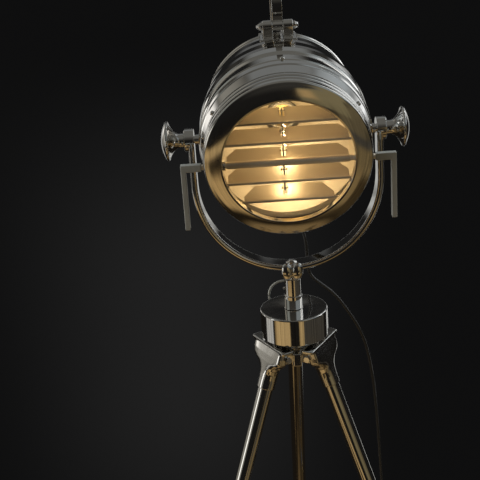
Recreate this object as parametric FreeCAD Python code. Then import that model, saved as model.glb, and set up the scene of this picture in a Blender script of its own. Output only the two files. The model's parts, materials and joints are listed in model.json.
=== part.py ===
import FreeCAD, Part
import math
import os

V = FreeCAD.Vector
UP = V(0, 0, 1)
SIDE = V(1, 0, 0)
BACK = V(0, 1, 0)

# ---------------------------------------------------------------- sizes, mm
running_gap = 0.06            # radial clearance of a shaft that turns
seat_gap = 0.03               # between fitted faces of one body
face_gap = 0.3                # between faces that slide past each other
hole_gap = 0.1                # screw and rivet holes, radial

# Base drum and stem
drum_top = 380.0              # height of the polished top above the table
drum_radius = 40.0
drum_height = 33.0
drum_wall = 3.0
drum_rim = 1.8
stem_radius = 9.5
stem_wall = 1.9
stem_above_drum = 38.0
sleeve_wall = 1.2
sleeve_height = 17.0
stop_pin_radius = 1.5
stop_pin_height = 25.0
stop_pin_proud = 2.1

# Crown under the drum, with a hinge bar for each leg
hinge_radius = 30.0           # from the lamp's axis to a hinge bolt
hinge_drop = 50.0             # below the drum's top
crown_half_height = 8.0
crown_neck_radius = 26.0
crown_bar_half = 24.7
crown_post_width = 9.6
crown_post_reach = 42.0
hinge_bolt_radius = 2.5
hinge_head_radius = 4.1
hinge_head_height = 3.0
crown_screw_radius = 2.0
crown_screw_circle = 17.0
crown_screw_length = 8.0
crown_spigot = 6.0            # up into the drum

# Legs
leg_splay = math.degrees(math.atan(0.36))
leg_azimuths = {"left": 210.0, "right": 330.0, "rear": 90.0}
leg_tube_radius = 9.0
leg_tube_wall = 1.5
cheek_thickness = 3.6
plate_half_length = 35.0
plate_thickness = 3.0
plate_outer = 10.0            # outward of the hinge bolt
plate_inner = -3.6
plate_gap = 2.0               # underside above the crown
socket_wall = 1.6
socket_end = 46.0             # along the leg from the hinge bolt
socket_start = 16.0
bracket_back = 6.5
bracket_neck = 12.6
foot_wall = 1.5
foot_wall_up = 24.0           # how far the foot reaches up the tube
foot_sole = 8.0

# Yoke
yoke_gap = 5.8                # between the drum's widest band and the strap
yoke_arm = 52.6               # straight part below the pivot
strap_width = 25.0
strap_thickness = 7.0
strap_corner = 2.4
eye_proud = 4.2               # beyond the strap's outer face
hub_height = 12.5             # from the stem up to the strap
hub_spigot_length = 44.0
hub_bottom_radius = 10.9
hub_top_radius = 12.2
hub_leaf_wall = 1.7           # where a leaf lies over the strap's edge
hub_leaf_rise = 4.5
hub_leaf_offset = 6.1
hub_leaf_half = 5.2
groove_depth = 1.4
hub_bolt_radius = 3.0
lever_rod_radius = 1.4

# Head, in its own frame: forward is -Y, pivot at the origin
head_tilt = 10.7
bezel_radius = 90.4
bezel_depth = 6.0             # from its rear to the edge of its rim
bezel_bulge = 7.1             # from that edge to its face
aperture_radius = 70.6
bezel_wall = 1.5
lip_depth = 7.7               # from the face back to the glass's seat
lens_lap = 5.4                # of the glass behind the bezel's lip
lens_thickness = 2.6
lens_sleeve_wall = 1.2
lens_sleeve_lap = 0.6         # into the louvre ring
lens_sleeve_sink = 0.3        # into the bezel's slope
gasket_thickness = 1.0
ring_wall = 2.2
ring_front = -62.0
ring_rear = -46.0
front_bead = 1.5
rear_bead = 1.7
front_spigot = 2.4            # of the louvre ring, inside the bezel
spigot_length = 4.5           # of the louvre ring, inside the drum
shell_wall = 2.4
shell_rear = 87.0
waist_rise = 2.6              # of the band at the pivot, above the bezel's radius
crest_rise = 5.6              # of the widest band, which carries the crest screw
# The drum's outer line from the louvre ring to the last band: place and rise.
shell_steps = [
    (ring_rear, 0.8), (-32.0, 3.2), (-31.0, waist_rise), (-29.6, waist_rise), (-28.6, 3.8), (-21.6, 4.6),
    (-20.6, crest_rise), (-16.6, crest_rise), (-15.6, 4.0), (-12.0, waist_rise), (2.0, waist_rise),
    (5.0, 3.8), (6.0, 4.8), (17.0, 5.2), (28.0, 3.8), (29.0, 2.2), (44.0, 1.8), (57.0, -0.2), (58.0, -2.0),
    (73.0, -2.8),
]
dome_inset = 1.8              # of the rear cover's skirt inside the drum's edge
rear_ring_proud = 1.4         # beyond the drum's edge
rear_ring_width = 6.0
dome_radius = 83.4
dome_depth = 55.0
dome_wall = 1.6
dome_skirt = 2.0
dome_shoulder = 28.0
dome_shoulder_turn = 48.0
ring_screw_angle = 18.4
ring_screw_radius = 2.6
ring_screw_shank = 1.5
ring_screw_seat = 0.6         # above the bezel's radius
ring_screw_proud = 4.0
ring_screw_cap = 1.6
ring_screw_place = -43.8
crest_screw_place = -18.6
crest_screw_length = 6.0
crest_screw_height = 1.8

# Louvre shutter
louvre_count = 5
louvre_pitch = 23.2
louvre_middle = -6.4          # height of the drive shaft in the head frame
louvre_place = -57.6
louvre_depth = 26.0
louvre_thickness = 0.9
louvre_rise = 14.0            # rear edge up, at rest
louvre_end_room = 13.4        # from the blades' circle to the ring's wall
louvre_trim = 6.5             # off the ends of the widest blades
louvre_clip = 10.0
louvre_clip_depth = 12.0
lower_clip = 12.5
lower_clip_depth = 17.0
louvre_rod_radius = 1.6
shaft_radius = 3.0
link_distance = 20.0          # from a louvre's axis to the link bar's pin
link_place = -4.0
link_thickness = 1.6
link_half_width = 1.1
link_pin_radius = 0.7
notch_width = 5.0
notch_depth = 16.0
ear_radius = 1.9
bush_radius = 5.0
bush_length = 4.0
lever_gap = 3.2               # from the bezel's radius to the lever's arm
lever_reach = 25.6            # from the bezel's radius to the lever's outside
lever_square = 5.6
lever_height = 8.0
lever_length = 73.5
collar_radius = 5.4
collar_width = 5.0
collar_gap = 1.5              # from the middle louvre's end

# Trunnions and clamp knobs
stud_radius = 4.0
trunnion_radius = 5.5
trunnion_nut_radius = 7.0
trunnion_nut_length = 6.6
knob_neck_radius = 7.85
knob_rim_radius = 21.2
knob_flare = 17.0             # from the yoke's eye to the rim
knob_rim_width = 3.4
knob_dome = 5.4

# Carry handle on the head
clevis_place = 72.0
clevis_rise = 10.6            # of the front pin above the bezel's radius
clevis_foot = 12.5            # from the pin to the foot's top
clevis_reach = 34.0           # of the lugs, down to their seat
lug_inner = 6.1
lug_width = 11.0
lug_radius = 6.5
pin_radius = 2.6
acorn_radius = 4.4
acorn_height = 6.4
handle_width = 11.6
handle_thickness = 3.0
handle_span = 66.0            # front clevis to rear clevis
handle_rise = 47.0
rear_pin_drop = 5.4           # below the rear cover's radius

# Lamp inside
cap_radius = 13.4             # of the bulb's cap
cap_room = 0.8
holder_wall = 3.8
holder_front = 50.0
holder_length = 34.0
bulb_radius = 22.0
bulb_front = -22.0
reflector_rim = -30.0
reflector_depth = 78.0
reflector_wall = 1.0
reflector_steps = 6
reflector_gap = 1.0           # inside the drum's wall
reflector_flange = 6.6
bracket_room = 1.4            # inside the rear cover's radius
bracket_half = 12.0
bracket_thickness = 2.0

# Cord
cord_radius = 2.0
cord_gap = 0.1
gland_place = 60.0
gland_side = 15.0
gland_length = 24.0
coil_radius = 20.0
coil_half_width = 6.2
coil_height = 11.6
coil_centre = V(112.0, 40.0, 0.0)
switch_end = V(165.0, 14.0, 0.0)
switch_length = 56.0
switch_half = 11.0
switch_height = 17.0
rocker_half = 9.0
rocker_drop = 2.6
plug_root = V(55.4, 74.0, 0.0)
plug_height = 12.0            # of the plug's axis over the table
plug_radius = 11.6
plug_length = 32.0
stub_radius = 145.0           # the head carries its cord this far from the pivot
stub_back = 88.6
stub_side = 15.6

stem_bore = stem_radius + seat_gap
sleeve_radius = stem_bore + sleeve_wall
hinge_height = drum_top - hinge_drop
plate_lift = crown_half_height + plate_gap
socket_radius = leg_tube_radius + socket_wall
foot_radius = leg_tube_radius + foot_wall
crown_top = hinge_height + crown_half_height
crown_bottom = hinge_height - crown_half_height
drum_bottom = drum_top - drum_height
stem_top = drum_top + stem_above_drum
bezel_rear = ring_front
bezel_edge = bezel_rear - bezel_depth
aperture_face = bezel_edge - bezel_bulge
lip_rear = aperture_face + lip_depth
lens_sleeve_rear = ring_front + lens_sleeve_lap
waist_radius = bezel_radius + waist_rise
crest_radius = bezel_radius + crest_rise
strap_inner = crest_radius + yoke_gap
yoke_half_width = strap_inner + strap_thickness / 2
eye_radius = strap_width / 2
eye_outer = strap_inner + strap_thickness + eye_proud
hub_leaf_radius = strap_width / 2 + hub_leaf_wall
strap_under = stem_top + face_gap + hub_height
strap_middle = strap_under + strap_thickness / 2
strap_over = strap_under + strap_thickness
pivot_height = strap_middle + yoke_half_width + yoke_arm
lens_radius = aperture_radius + lens_lap
shell_end_radius = dome_radius + dome_inset
rear_ring_radius = shell_end_radius + rear_ring_proud
bush_wall = bezel_radius - 2 * ring_wall - hole_gap
louvre_circle = bush_wall - louvre_end_room
louvre_widest = louvre_circle - louvre_trim
lever_outer = bezel_radius + lever_reach
collar_place = -louvre_widest - collar_gap
trunnion_end = strap_inner - 2 * face_gap
knob_rim_place = eye_outer + knob_flare
knob_end = knob_rim_place + knob_rim_width + knob_dome
clevis_height = bezel_radius + clevis_rise
rear_pin_height = dome_radius - rear_pin_drop
holder_bore = cap_radius + cap_room
holder_radius = holder_bore + holder_wall
splay = math.radians(leg_splay)
pieces = {}


# ---------------------------------------------------------------- helpers
def rod(start, end, radius, bore=0.0):
    """A round bar between two points, with an optional bore."""
    axis = end - start
    bar = Part.makeCylinder(radius, axis.Length, start, axis)
    if bore > 0:
        bar = bar.cut(Part.makeCylinder(bore, axis.Length, start, axis))
    return bar


def box(low, high):
    size = high - low
    return Part.makeBox(size.x, size.y, size.z, low)


def outline(points):
    """A closed wire; a point given as (end, through) is reached by an arc."""
    ends = [p[0] if isinstance(p, tuple) else p for p in points]
    edges = []
    for index, item in enumerate(points):
        start = ends[index - 1]
        if isinstance(item, tuple):
            edges.append(Part.Arc(start, item[1], item[0]).toShape())
        elif (item - start).Length > 1e-6:
            edges.append(Part.LineSegment(start, item).toShape())
    return Part.Wire(edges)


def spin(profile, axis, side):
    """Turn a profile of (along, radius) points about an axis.

    A point with four numbers is reached by an arc through (along, radius).
    """
    def place(along, radius):
        return axis * along + side * radius
    points = []
    for item in profile:
        if len(item) == 4:
            points.append((place(item[0], item[1]), place(item[2], item[3])))
        else:
            points.append(place(*item))
    solid = Part.Face(outline(points)).revolve(V(0, 0, 0), axis, 360)
    return solid if solid.Volume > 0 else solid.reversed()


def crown_to_axis(start, radius, end):
    """The last profile point of a spherical cap that closes on the axis."""
    height = abs(end - start)
    ball = (radius * radius + height * height) / (2 * height)
    sign = 1 if end > start else -1
    centre = end - sign * ball
    half = math.asin(radius / ball) / 2
    return (end, 0, centre + sign * ball * math.cos(half), ball * math.sin(half))


def prism(points, depth):
    """Extrude a closed outline."""
    return Part.Face(outline(points)).extrude(depth)


def across(axis):
    """A direction square to an axis."""
    side = axis.cross(UP)
    if side.Length < 0.1:
        side = axis.cross(BACK)
    return side.normalize()


def hexagon(centre, axis, radius, height):
    """A hexagonal head or nut, its corners on the given radius."""
    side = across(axis)
    other = axis.cross(side)
    corners = []
    for k in range(6):
        turn = math.radians(60 * k)
        corners.append(centre + side * (radius * math.cos(turn)) + other * (radius * math.sin(turn)))
    return prism(corners, axis * height)


def dome_head(centre, axis, radius, height):
    """A round head with a domed top, standing on its flat face."""
    head = spin([(0, 0), (0, radius), crown_to_axis(0, radius, height)], axis, across(axis))
    return head.translated(centre)


def fused(shapes):
    whole = shapes[0]
    for shape in shapes[1:]:
        whole = whole.fuse(shape)
    return whole.removeSplitter()


def without(shape, cutters):
    for cutter in cutters:
        shape = shape.cut(cutter)
    return shape


def turned(shape, centre, axis, degrees):
    copy = shape.copy()
    copy.rotate(centre, axis, degrees)
    return copy


def mirrored(shape):
    return shape.mirror(V(0, 0, 0), SIDE)


def both_sides(shape):
    return [shape, mirrored(shape)]


def add(name, shape):
    pieces[name] = shape


def add_group(name, shapes):
    pieces[name] = Part.makeCompound(shapes)


# ---------------------------------------------------------------- base
def make_base():
    top = [
        (drum_top, stem_bore),
        (drum_top, drum_radius - drum_rim),
        (drum_top - drum_rim, drum_radius,
         drum_top - drum_rim * (1 - math.sqrt(0.5)), drum_radius - drum_rim * (1 - math.sqrt(0.5))),
        (drum_bottom, drum_radius),
        (drum_bottom, drum_radius - drum_wall),
        (drum_top - drum_wall, drum_radius - drum_wall),
        (drum_top - drum_wall, stem_bore),
    ]
    add("base_drum", spin(top, UP, SIDE))

    sleeve = [
        (drum_top, stem_bore),
        (drum_top, sleeve_radius),
        (drum_top + sleeve_height - 0.6, sleeve_radius),
        (drum_top + sleeve_height, sleeve_radius - 0.6),
        (drum_top + sleeve_height, stem_bore),
    ]
    add("stem_sleeve", spin(sleeve, UP, SIDE))

    stem_foot = V(0, 0, hinge_height)
    stem = rod(stem_foot, V(0, 0, stem_top), stem_radius, stem_radius - stem_wall)
    pin_place = drum_top + stop_pin_height
    pin = rod(V(-stem_radius - stop_pin_proud, 0, pin_place),
              V(-stem_radius + stem_wall + groove_depth * 0.6, 0, pin_place), stop_pin_radius)
    screw = rod(V(-stem_radius - 1, 0, lever_height_on_stem()),
                V(0, 0, lever_height_on_stem()), lever_rod_radius + running_gap)
    add("stem_tube", without(stem, [pin, screw]))
    add("stem_pin", pin)


def lever_height_on_stem():
    return stem_top - 3.4


def make_crown():
    """The casting that closes the drum and carries the three leg hinges."""
    spigot = rod(V(0, 0, drum_bottom), V(0, 0, drum_bottom + crown_spigot),
                 drum_radius - drum_wall - seat_gap)
    neck = rod(V(0, 0, crown_bottom), V(0, 0, drum_bottom), crown_neck_radius)
    parts = [spigot, neck]
    for azimuth in leg_azimuths.values():
        bar = box(V(0, -crown_bar_half, crown_bottom), V(hinge_radius, crown_bar_half, crown_top))
        nose = rod(V(hinge_radius, -crown_bar_half, hinge_height),
                   V(hinge_radius, crown_bar_half, hinge_height), crown_half_height)
        post = box(V(-crown_post_reach, -crown_post_width / 2, crown_bottom),
                   V(0, crown_post_width / 2, crown_top))
        parts.append(turned(fused([bar, nose, post]), V(0, 0, 0), UP, azimuth))
    crown = fused(parts)
    bores = [rod(V(0, 0, hinge_height), V(0, 0, drum_bottom + crown_spigot + 1), stem_bore)]
    for azimuth in leg_azimuths.values():
        bolt_hole = rod(V(hinge_radius, -plate_half_length, hinge_height),
                        V(hinge_radius, plate_half_length, hinge_height), hinge_bolt_radius + seat_gap)
        bores.append(turned(bolt_hole, V(0, 0, 0), UP, azimuth))
    screws = []
    for k in range(3):
        turn = 60 + 120 * k
        foot = V(crown_screw_circle, 0, crown_bottom)
        hole = rod(foot - UP, foot + UP * (crown_screw_length + 1), crown_screw_radius + hole_gap)
        bores.append(turned(hole, V(0, 0, 0), UP, turn))
        shank = rod(foot, foot + UP * crown_screw_length, crown_screw_radius)
        head = dome_head(foot, -UP, crown_screw_radius * 1.9, 2.0)
        screws.append(turned(fused([shank, head]), V(0, 0, 0), UP, turn))
    add("crown_block", without(crown, bores))
    add_group("crown_screws", screws)

    bolts = []
    nuts = []
    cheek_outer = crown_bar_half + face_gap + cheek_thickness
    for azimuth in leg_azimuths.values():
        start = V(hinge_radius, -cheek_outer - face_gap, hinge_height)
        end = V(hinge_radius, cheek_outer + face_gap, hinge_height)
        shank = rod(start, end + BACK * hinge_head_height, hinge_bolt_radius)
        head = hexagon(start, -BACK, hinge_head_radius, hinge_head_height)
        nut = hexagon(end, BACK, hinge_head_radius, hinge_head_height)
        nut = nut.cut(rod(end, end + BACK * hinge_head_height, hinge_bolt_radius + seat_gap))
        bolts.append(turned(fused([shank, head]), V(0, 0, 0), UP, azimuth))
        nuts.append(turned(nut, V(0, 0, 0), UP, azimuth))
    add_group("leg_hinge_bolts", bolts + nuts)


# ---------------------------------------------------------------- legs
def leg_point(side, across, down):
    """A point of a leg: along its hinge bolt, outward across it, and down its tube."""
    out = V(math.cos(splay), 0, math.sin(splay))
    along = V(math.sin(splay), 0, -math.cos(splay))
    return V(hinge_radius, 0, hinge_height) + BACK * side + out * across + along * down


def flared_front(half_top, half_end):
    """The bracket seen from outside: wide at the hinge, waisted to the tube."""
    def pair(side, down):
        return leg_point(side, -20, down)
    waist = 29.0
    right = [
        pair(half_top, -16), pair(half_top, 3),
        (pair(half_end + 1.2, waist), pair(half_top - 10.5, 12.5)),
        pair(half_end, socket_end),
    ]
    left = [
        pair(-half_end, socket_end), pair(-half_end - 1.2, waist),
        (pair(-half_top, 3), pair(-half_top + 10.5, 12.5)),
        pair(-half_top, -16),
    ]
    depth = leg_point(0, 20, 0) - leg_point(0, -20, 0)
    return prism(right + left, depth)


def bracket_side():
    """The bracket seen along the hinge bolt: slim below, leaning out to the top plate."""
    hinge = V(hinge_radius, 0, hinge_height)
    half = plate_half_length
    start = -BACK * half
    points = [
        hinge + V(plate_inner, 0, plate_lift),
        hinge + V(plate_outer, 0, plate_lift),
        leg_point(0, socket_radius + 0.4, 12),
        leg_point(0, 6.4, 27),
        leg_point(0, 4.5, socket_end),
        leg_point(0, -bracket_back, socket_end),
        leg_point(0, -bracket_back, 9),
        hinge + V(-4.6, 0, -4),
        hinge + V(-4.6, 0, 4),
    ]
    return prism([p + start for p in points], BACK * (2 * half))


def make_leg(name, azimuth):
    cheek_outer = crown_bar_half + face_gap + cheek_thickness
    hinge = V(hinge_radius, 0, hinge_height)
    body = flared_front(cheek_outer, bracket_neck).common(bracket_side())
    plate = box(hinge + V(plate_inner, -plate_half_length, plate_lift),
                hinge + V(plate_outer, plate_half_length, plate_lift + plate_thickness))
    corners = [e for e in plate.Edges if abs(e.tangentAt(0).z) > 0.9 and e.CenterOfMass.x > hinge_radius]
    plate = plate.makeFillet(2.5, corners)
    socket = rod(leg_point(0, 0, 8), leg_point(0, 0, socket_end), socket_radius)
    bracket = fused([body, plate, socket])
    inner_half = crown_bar_half + face_gap
    nose_room = rod(hinge - BACK * inner_half, hinge + BACK * inner_half, crown_half_height + 0.8)
    bar_room = box(V(0, -inner_half, crown_bottom - 4.4), V(hinge_radius, inner_half, hinge_height + plate_lift))
    top_room = box(V(hinge_radius - 6, -inner_half, hinge_height),
                   V(hinge_radius + crown_half_height, inner_half, hinge_height + plate_lift))
    bolt_room = rod(hinge - BACK * 60, hinge + BACK * 60, hinge_bolt_radius + running_gap)
    tube_room = rod(leg_point(0, 0, socket_start), leg_point(0, 0, socket_end + 5), leg_tube_radius + seat_gap)
    bracket = without(bracket, [nose_room, bar_room, top_room, bolt_room, tube_room])

    leg_length = hinge_height / math.cos(splay)
    tube_end = leg_length - foot_sole
    tube = rod(leg_point(0, 0, socket_start), leg_point(0, 0, tube_end),
               leg_tube_radius, leg_tube_radius - leg_tube_wall)
    foot_top = tube_end - foot_wall_up
    foot = rod(leg_point(0, 0, foot_top), leg_point(0, 0, leg_length + 12), foot_radius)
    rim = [e for e in foot.Edges if abs(e.CenterOfMass.z - leg_point(0, 0, foot_top).z) < 0.1]
    foot = foot.makeFillet(0.9, rim)
    foot = foot.cut(rod(leg_point(0, 0, foot_top - 1), leg_point(0, 0, tube_end), leg_tube_radius + seat_gap))
    floor = box(V(0, -60, -60), V(400, 60, 0))
    foot = foot.cut(floor)
    for part, shape in (("bracket", bracket), ("tube", tube), ("foot", foot)):
        add(name + "_leg_" + part, turned(shape, V(0, 0, 0), UP, azimuth))


# ---------------------------------------------------------------- yoke
def strap_section(centre, across):
    """The strap's rounded rectangle, its width along Y."""
    w = strap_width / 2
    t = strap_thickness / 2
    c = strap_corner
    d = c * (1 - math.sqrt(0.5))

    def at(x, y):
        return centre + across * x + BACK * y
    points = []
    for sx, sy in ((1, 1), (-1, 1), (-1, -1), (1, -1)):
        side_point = at(sx * t, sy * (w - c))
        end_point = at(sx * (t - c), sy * w)
        middle = at(sx * (t - d), sy * (w - d))
        if sx * sy > 0:
            points += [side_point, (end_point, middle)]
        else:
            points += [end_point, (side_point, middle)]
    return Part.Face(outline(points))


def make_yoke():
    centre = V(0, 0, pivot_height - yoke_arm)
    bow = strap_section(centre + SIDE * yoke_half_width, SIDE).revolve(centre, BACK, 180)
    arms = []
    for sign in (1, -1):
        arm = strap_section(centre + SIDE * (sign * yoke_half_width), SIDE).extrude(UP * yoke_arm)
        eye = rod(V(sign * strap_inner, 0, pivot_height), V(sign * eye_outer, 0, pivot_height), eye_radius)
        rim = [e for e in eye.Edges if abs(e.CenterOfMass.x) > eye_outer - 0.1]
        eye = eye.makeFillet(1.4, rim)
        arms += [arm, eye]
    yoke = fused([bow] + arms)
    pivot = V(0, 0, pivot_height)
    holes = [
        rod(pivot - SIDE * (eye_outer + 1), pivot + SIDE * (eye_outer + 1), stud_radius + running_gap),
        rod(V(0, 0, strap_under - 1), V(0, 0, strap_over + 1), hub_bolt_radius + hole_gap),
        rod(V(0, 0, strap_over), V(0, 0, strap_over + 3), hub_bolt_radius * 2.2 + hole_gap),
    ]
    add("yoke_frame", without(yoke, holes))


def make_hub():
    """The tulip-shaped hub under the strap, with a spigot that turns in the stem."""
    spigot_radius = stem_radius - stem_wall - running_gap
    spigot_bottom = stem_top - hub_spigot_length
    groove = drum_top + stop_pin_height
    groove_half = stop_pin_radius + 0.3
    neck = spigot_radius - groove_depth
    foot = stem_top + face_gap
    body = [
        (spigot_bottom, 0), (spigot_bottom, spigot_radius - 0.8), (spigot_bottom + 0.8, spigot_radius),
        (groove - groove_half, spigot_radius), (groove - groove_half, neck),
        (groove + groove_half, neck), (groove + groove_half, spigot_radius),
        (foot, spigot_radius), (foot, hub_bottom_radius), (foot + 2.4, hub_bottom_radius),
        (strap_under, hub_top_radius, foot + 7.5, hub_bottom_radius + 0.3), (strap_under, 0),
    ]
    hub = spin(body, UP, SIDE)
    leaf_low = foot + 2.0
    leaf_high = strap_over + hub_leaf_rise
    leaf_middle = (leaf_low + leaf_high) / 2 + 1.5
    shell = rod(V(0, 0, leaf_low), V(0, 0, leaf_high), hub_leaf_radius)
    shell = shell.cut(rod(V(0, 0, strap_under), V(0, 0, leaf_high + 1), strap_width / 2 + seat_gap))
    for sx in (1, -1):
        for sy in (1, -1):
            x = sx * hub_leaf_offset
            low = V(x * 0.7, 0, leaf_low)
            high = V(x * 1.05, 0, leaf_high)
            inner = V(x - hub_leaf_half, 0, leaf_middle)
            other = V(x + hub_leaf_half, 0, leaf_middle)
            leaf = prism([low, (high, inner), (low, other)], BACK * (sy * hub_leaf_radius * 1.2))
            hub = hub.fuse(leaf.common(shell))
    hub = hub.removeSplitter()
    hub = hub.cut(rod(V(0, 0, strap_under - 12), V(0, 0, strap_under), hub_bolt_radius + seat_gap))
    room_half = strap_width / 2 + seat_gap
    strap_room = box(V(-30, -room_half, strap_under), V(30, room_half, strap_over + 30))
    add("yoke_hub", hub.cut(strap_room))

    shank = rod(V(0, 0, strap_under - 11), V(0, 0, strap_over), hub_bolt_radius)
    head = dome_head(V(0, 0, strap_over), UP, hub_bolt_radius * 2.2, 3.2)
    add("yoke_hub_bolt", fused([shank, head]))


def make_pan_lever():
    """A bent rod whose threaded end clamps the hub's spigot through the stem's wall."""
    z = lever_height_on_stem()
    tip = V(-(stem_radius - stem_wall), 0, z)
    start = V(-stem_radius - 1.5, 0, z)
    middle = V(-21.5, 0, z - 6.6)
    end = V(-27.7, 0, z - 21.9)
    path = Part.Wire([Part.LineSegment(tip, start).toShape(), Part.Arc(start, middle, end).toShape()])
    circle = Part.Wire([Part.makeCircle(lever_rod_radius, tip, SIDE)])
    bar = path.makePipeShell([circle], True, False)
    ball = Part.makeSphere(lever_rod_radius * 1.25, end)
    add("pan_lock_lever", fused([bar, ball]))


# ---------------------------------------------------------------- head
def shell_profile():
    """The drum's stepped outer line, front to rear, as (place, radius)."""
    line = [(place, bezel_radius + rise) for place, rise in shell_steps]
    return line + [(shell_rear, shell_end_radius)]


def drum_shell_outer():
    """The solid inside the drum's outer line, used to seat what stands on it."""
    line = shell_profile()
    return spin([(line[0][0], 0)] + line + [(line[-1][0], 0)], BACK, UP)


def make_front_ring():
    """The ring that carries the louvres, with two rolled beads, and its bezel and glass."""
    inner = bezel_radius - ring_wall - seat_gap
    low = bezel_radius - 0.4
    bead_middle = (ring_front + ring_rear) / 2
    profile = [
        (ring_front - front_spigot, inner - ring_wall), (ring_front - front_spigot, inner - seat_gap),
        (ring_front, inner - seat_gap), (ring_front, low),
        (bead_middle, low, (ring_front + bead_middle) / 2, low + front_bead),
        (ring_rear - 0.2, low, (ring_rear + bead_middle) / 2, low + rear_bead),
        (ring_rear - 0.2, inner - seat_gap), (ring_rear + spigot_length, inner - seat_gap),
        (ring_rear + spigot_length, inner - ring_wall),
    ]
    ring = spin(profile, BACK, UP)
    bores = [rod(V(-lever_outer, louvre_place, louvre_middle), V(lever_outer, louvre_place, louvre_middle),
                 shaft_radius + running_gap)]
    bores += [hole for hole, spot, screw in ring_screws()]
    add("louvre_ring", without(ring, bores))

    c = bezel_wall
    slope_start = (aperture_face + 2.2, aperture_radius + c)
    slope_end = (bezel_edge + 0.9, bezel_radius - 4.0)
    bezel = [
        (bezel_rear, bezel_radius), (bezel_edge + 2.0, bezel_radius),
        (bezel_edge - 1.2, bezel_radius - 2.6, bezel_edge + 0.1, bezel_radius - 0.5),
        (aperture_face + 0.4, aperture_radius + 1.6),
        (aperture_face + 1.2, aperture_radius, aperture_face, aperture_radius + 0.5),
        (lip_rear, aperture_radius), (lip_rear, aperture_radius + c), slope_start, slope_end,
        (bezel_edge + 3.4, bezel_radius - c), (bezel_rear, bezel_radius - c),
    ]
    wall_radius = lens_radius + seat_gap
    wall_outer = wall_radius + lens_sleeve_wall
    share = (wall_radius - slope_start[1]) / (slope_end[1] - slope_start[1])
    sleeve_front = slope_start[0] + (slope_end[0] - slope_start[0]) * share - lens_sleeve_sink
    sleeve = [
        (sleeve_front, wall_radius), (sleeve_front, wall_outer),
        (lens_sleeve_rear, wall_outer), (lens_sleeve_rear, wall_radius),
    ]
    add("front_bezel", fused([spin(bezel, BACK, UP), spin(sleeve, BACK, UP)]))

    lens_front = lip_rear + gasket_thickness
    lens_rear = lens_front + lens_thickness
    gasket = [(lip_rear, aperture_radius), (lip_rear, lens_radius),
              (lens_front, lens_radius), (lens_front, aperture_radius)]
    add("lens_gasket", spin(gasket, BACK, UP))
    add("front_lens", rod(V(0, lens_front, 0), V(0, lens_rear, 0), lens_radius))
    retainer = [(lens_rear, lens_radius - 3), (lens_rear, lens_radius),
                (lens_rear + 1.2, lens_radius), (lens_rear + 1.2, lens_radius - 3)]
    add("lens_retainer", spin(retainer, BACK, UP))


def ring_screws():
    """Domed screws that hold the drum on the louvre ring: hole, spot face and screw."""
    found = []
    first = math.degrees(math.asin(louvre_middle / bezel_radius))
    for side in (0, 180):
        for k in (-2, -1, 1, 2):
            angle = first + k * ring_screw_angle
            turn = math.radians(angle if side == 0 else 180 - angle)
            out = V(math.cos(turn), 0, math.sin(turn))
            foot = V(0, ring_screw_place, 0) + out * (bezel_radius - 2 * ring_wall - 2)
            seat = V(0, ring_screw_place, 0) + out * (bezel_radius + ring_screw_seat)
            rim = seat + out * (ring_screw_proud - ring_screw_cap)
            hole = rod(foot, seat + out * ring_screw_proud, ring_screw_shank + hole_gap)
            collar = rod(seat, rim, ring_screw_radius)
            cap = dome_head(rim, out, ring_screw_radius, ring_screw_cap)
            spot = rod(seat, seat + out * ring_screw_proud, ring_screw_radius + seat_gap)
            found.append((hole, spot, fused([rod(foot, seat + out, ring_screw_shank), collar, cap])))
    return found


def dome_solid(inset):
    """The space inside the rear cover's surface, set inward by an inset."""
    start = shell_rear + rear_ring_width + seat_gap
    bend = dome_shoulder - inset
    turn = math.radians(dome_shoulder_turn)
    middle = dome_radius - dome_shoulder
    corner = (start + dome_skirt + bend * math.sin(turn), middle + bend * math.cos(turn))
    half = (start + dome_skirt + bend * math.sin(turn / 2), middle + bend * math.cos(turn / 2))
    line = [
        (start, 0), (start, dome_radius - inset), (start + dome_skirt, dome_radius - inset),
        corner + half, crown_to_axis(corner[0], corner[1], start + dome_depth - inset),
    ]
    return spin(line, BACK, UP)


def make_drum():
    outer = shell_profile()
    inner = [(y, r - shell_wall) for y, r in reversed(outer)]
    lap = bezel_radius - ring_wall - seat_gap
    inner[-1] = (ring_rear, lap)
    inner.insert(-1, (ring_rear + spigot_length + 0.2, lap))
    inner.insert(-2, (ring_rear + spigot_length + 1.2, lap + 1.6))
    shell = spin(outer + inner, BACK, UP)
    cutters = [rod(V(-trunnion_end, 0, 0), V(trunnion_end, 0, 0), stud_radius + hole_gap)]
    gland_hole = rod(V(gland_side, gland_place, -crest_radius), V(gland_side, gland_place, -70),
                     cord_radius + 2.6)
    cutters.append(gland_hole)
    screws = []
    for hole, spot, screw in ring_screws():
        cutters += [hole, spot]
        screws.append(screw)
    crest = V(0, crest_screw_place, 0) + UP * crest_radius
    shank = rod(crest - UP * crest_screw_length, crest, ring_screw_radius * 0.5)
    cutters.append(rod(crest - UP * crest_screw_length, crest + UP, ring_screw_radius * 0.5 + seat_gap))
    screws.append(fused([dome_head(crest, UP, ring_screw_radius, crest_screw_height), shank]))
    add("drum_shell", without(shell, cutters))
    add_group("shell_screws", screws)

    middle = shell_rear + rear_ring_width / 2
    ring = [
        (shell_rear + 0.05, dome_radius - 4), (shell_rear + 0.05, rear_ring_radius - 1.2),
        (shell_rear + rear_ring_width, rear_ring_radius - 1.2, middle, rear_ring_radius + 0.4),
        (shell_rear + rear_ring_width, dome_radius - 4),
    ]
    add("rear_ring", spin(ring, BACK, UP))

    add("rear_cover", dome_solid(0).cut(dome_solid(dome_wall)))


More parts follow.
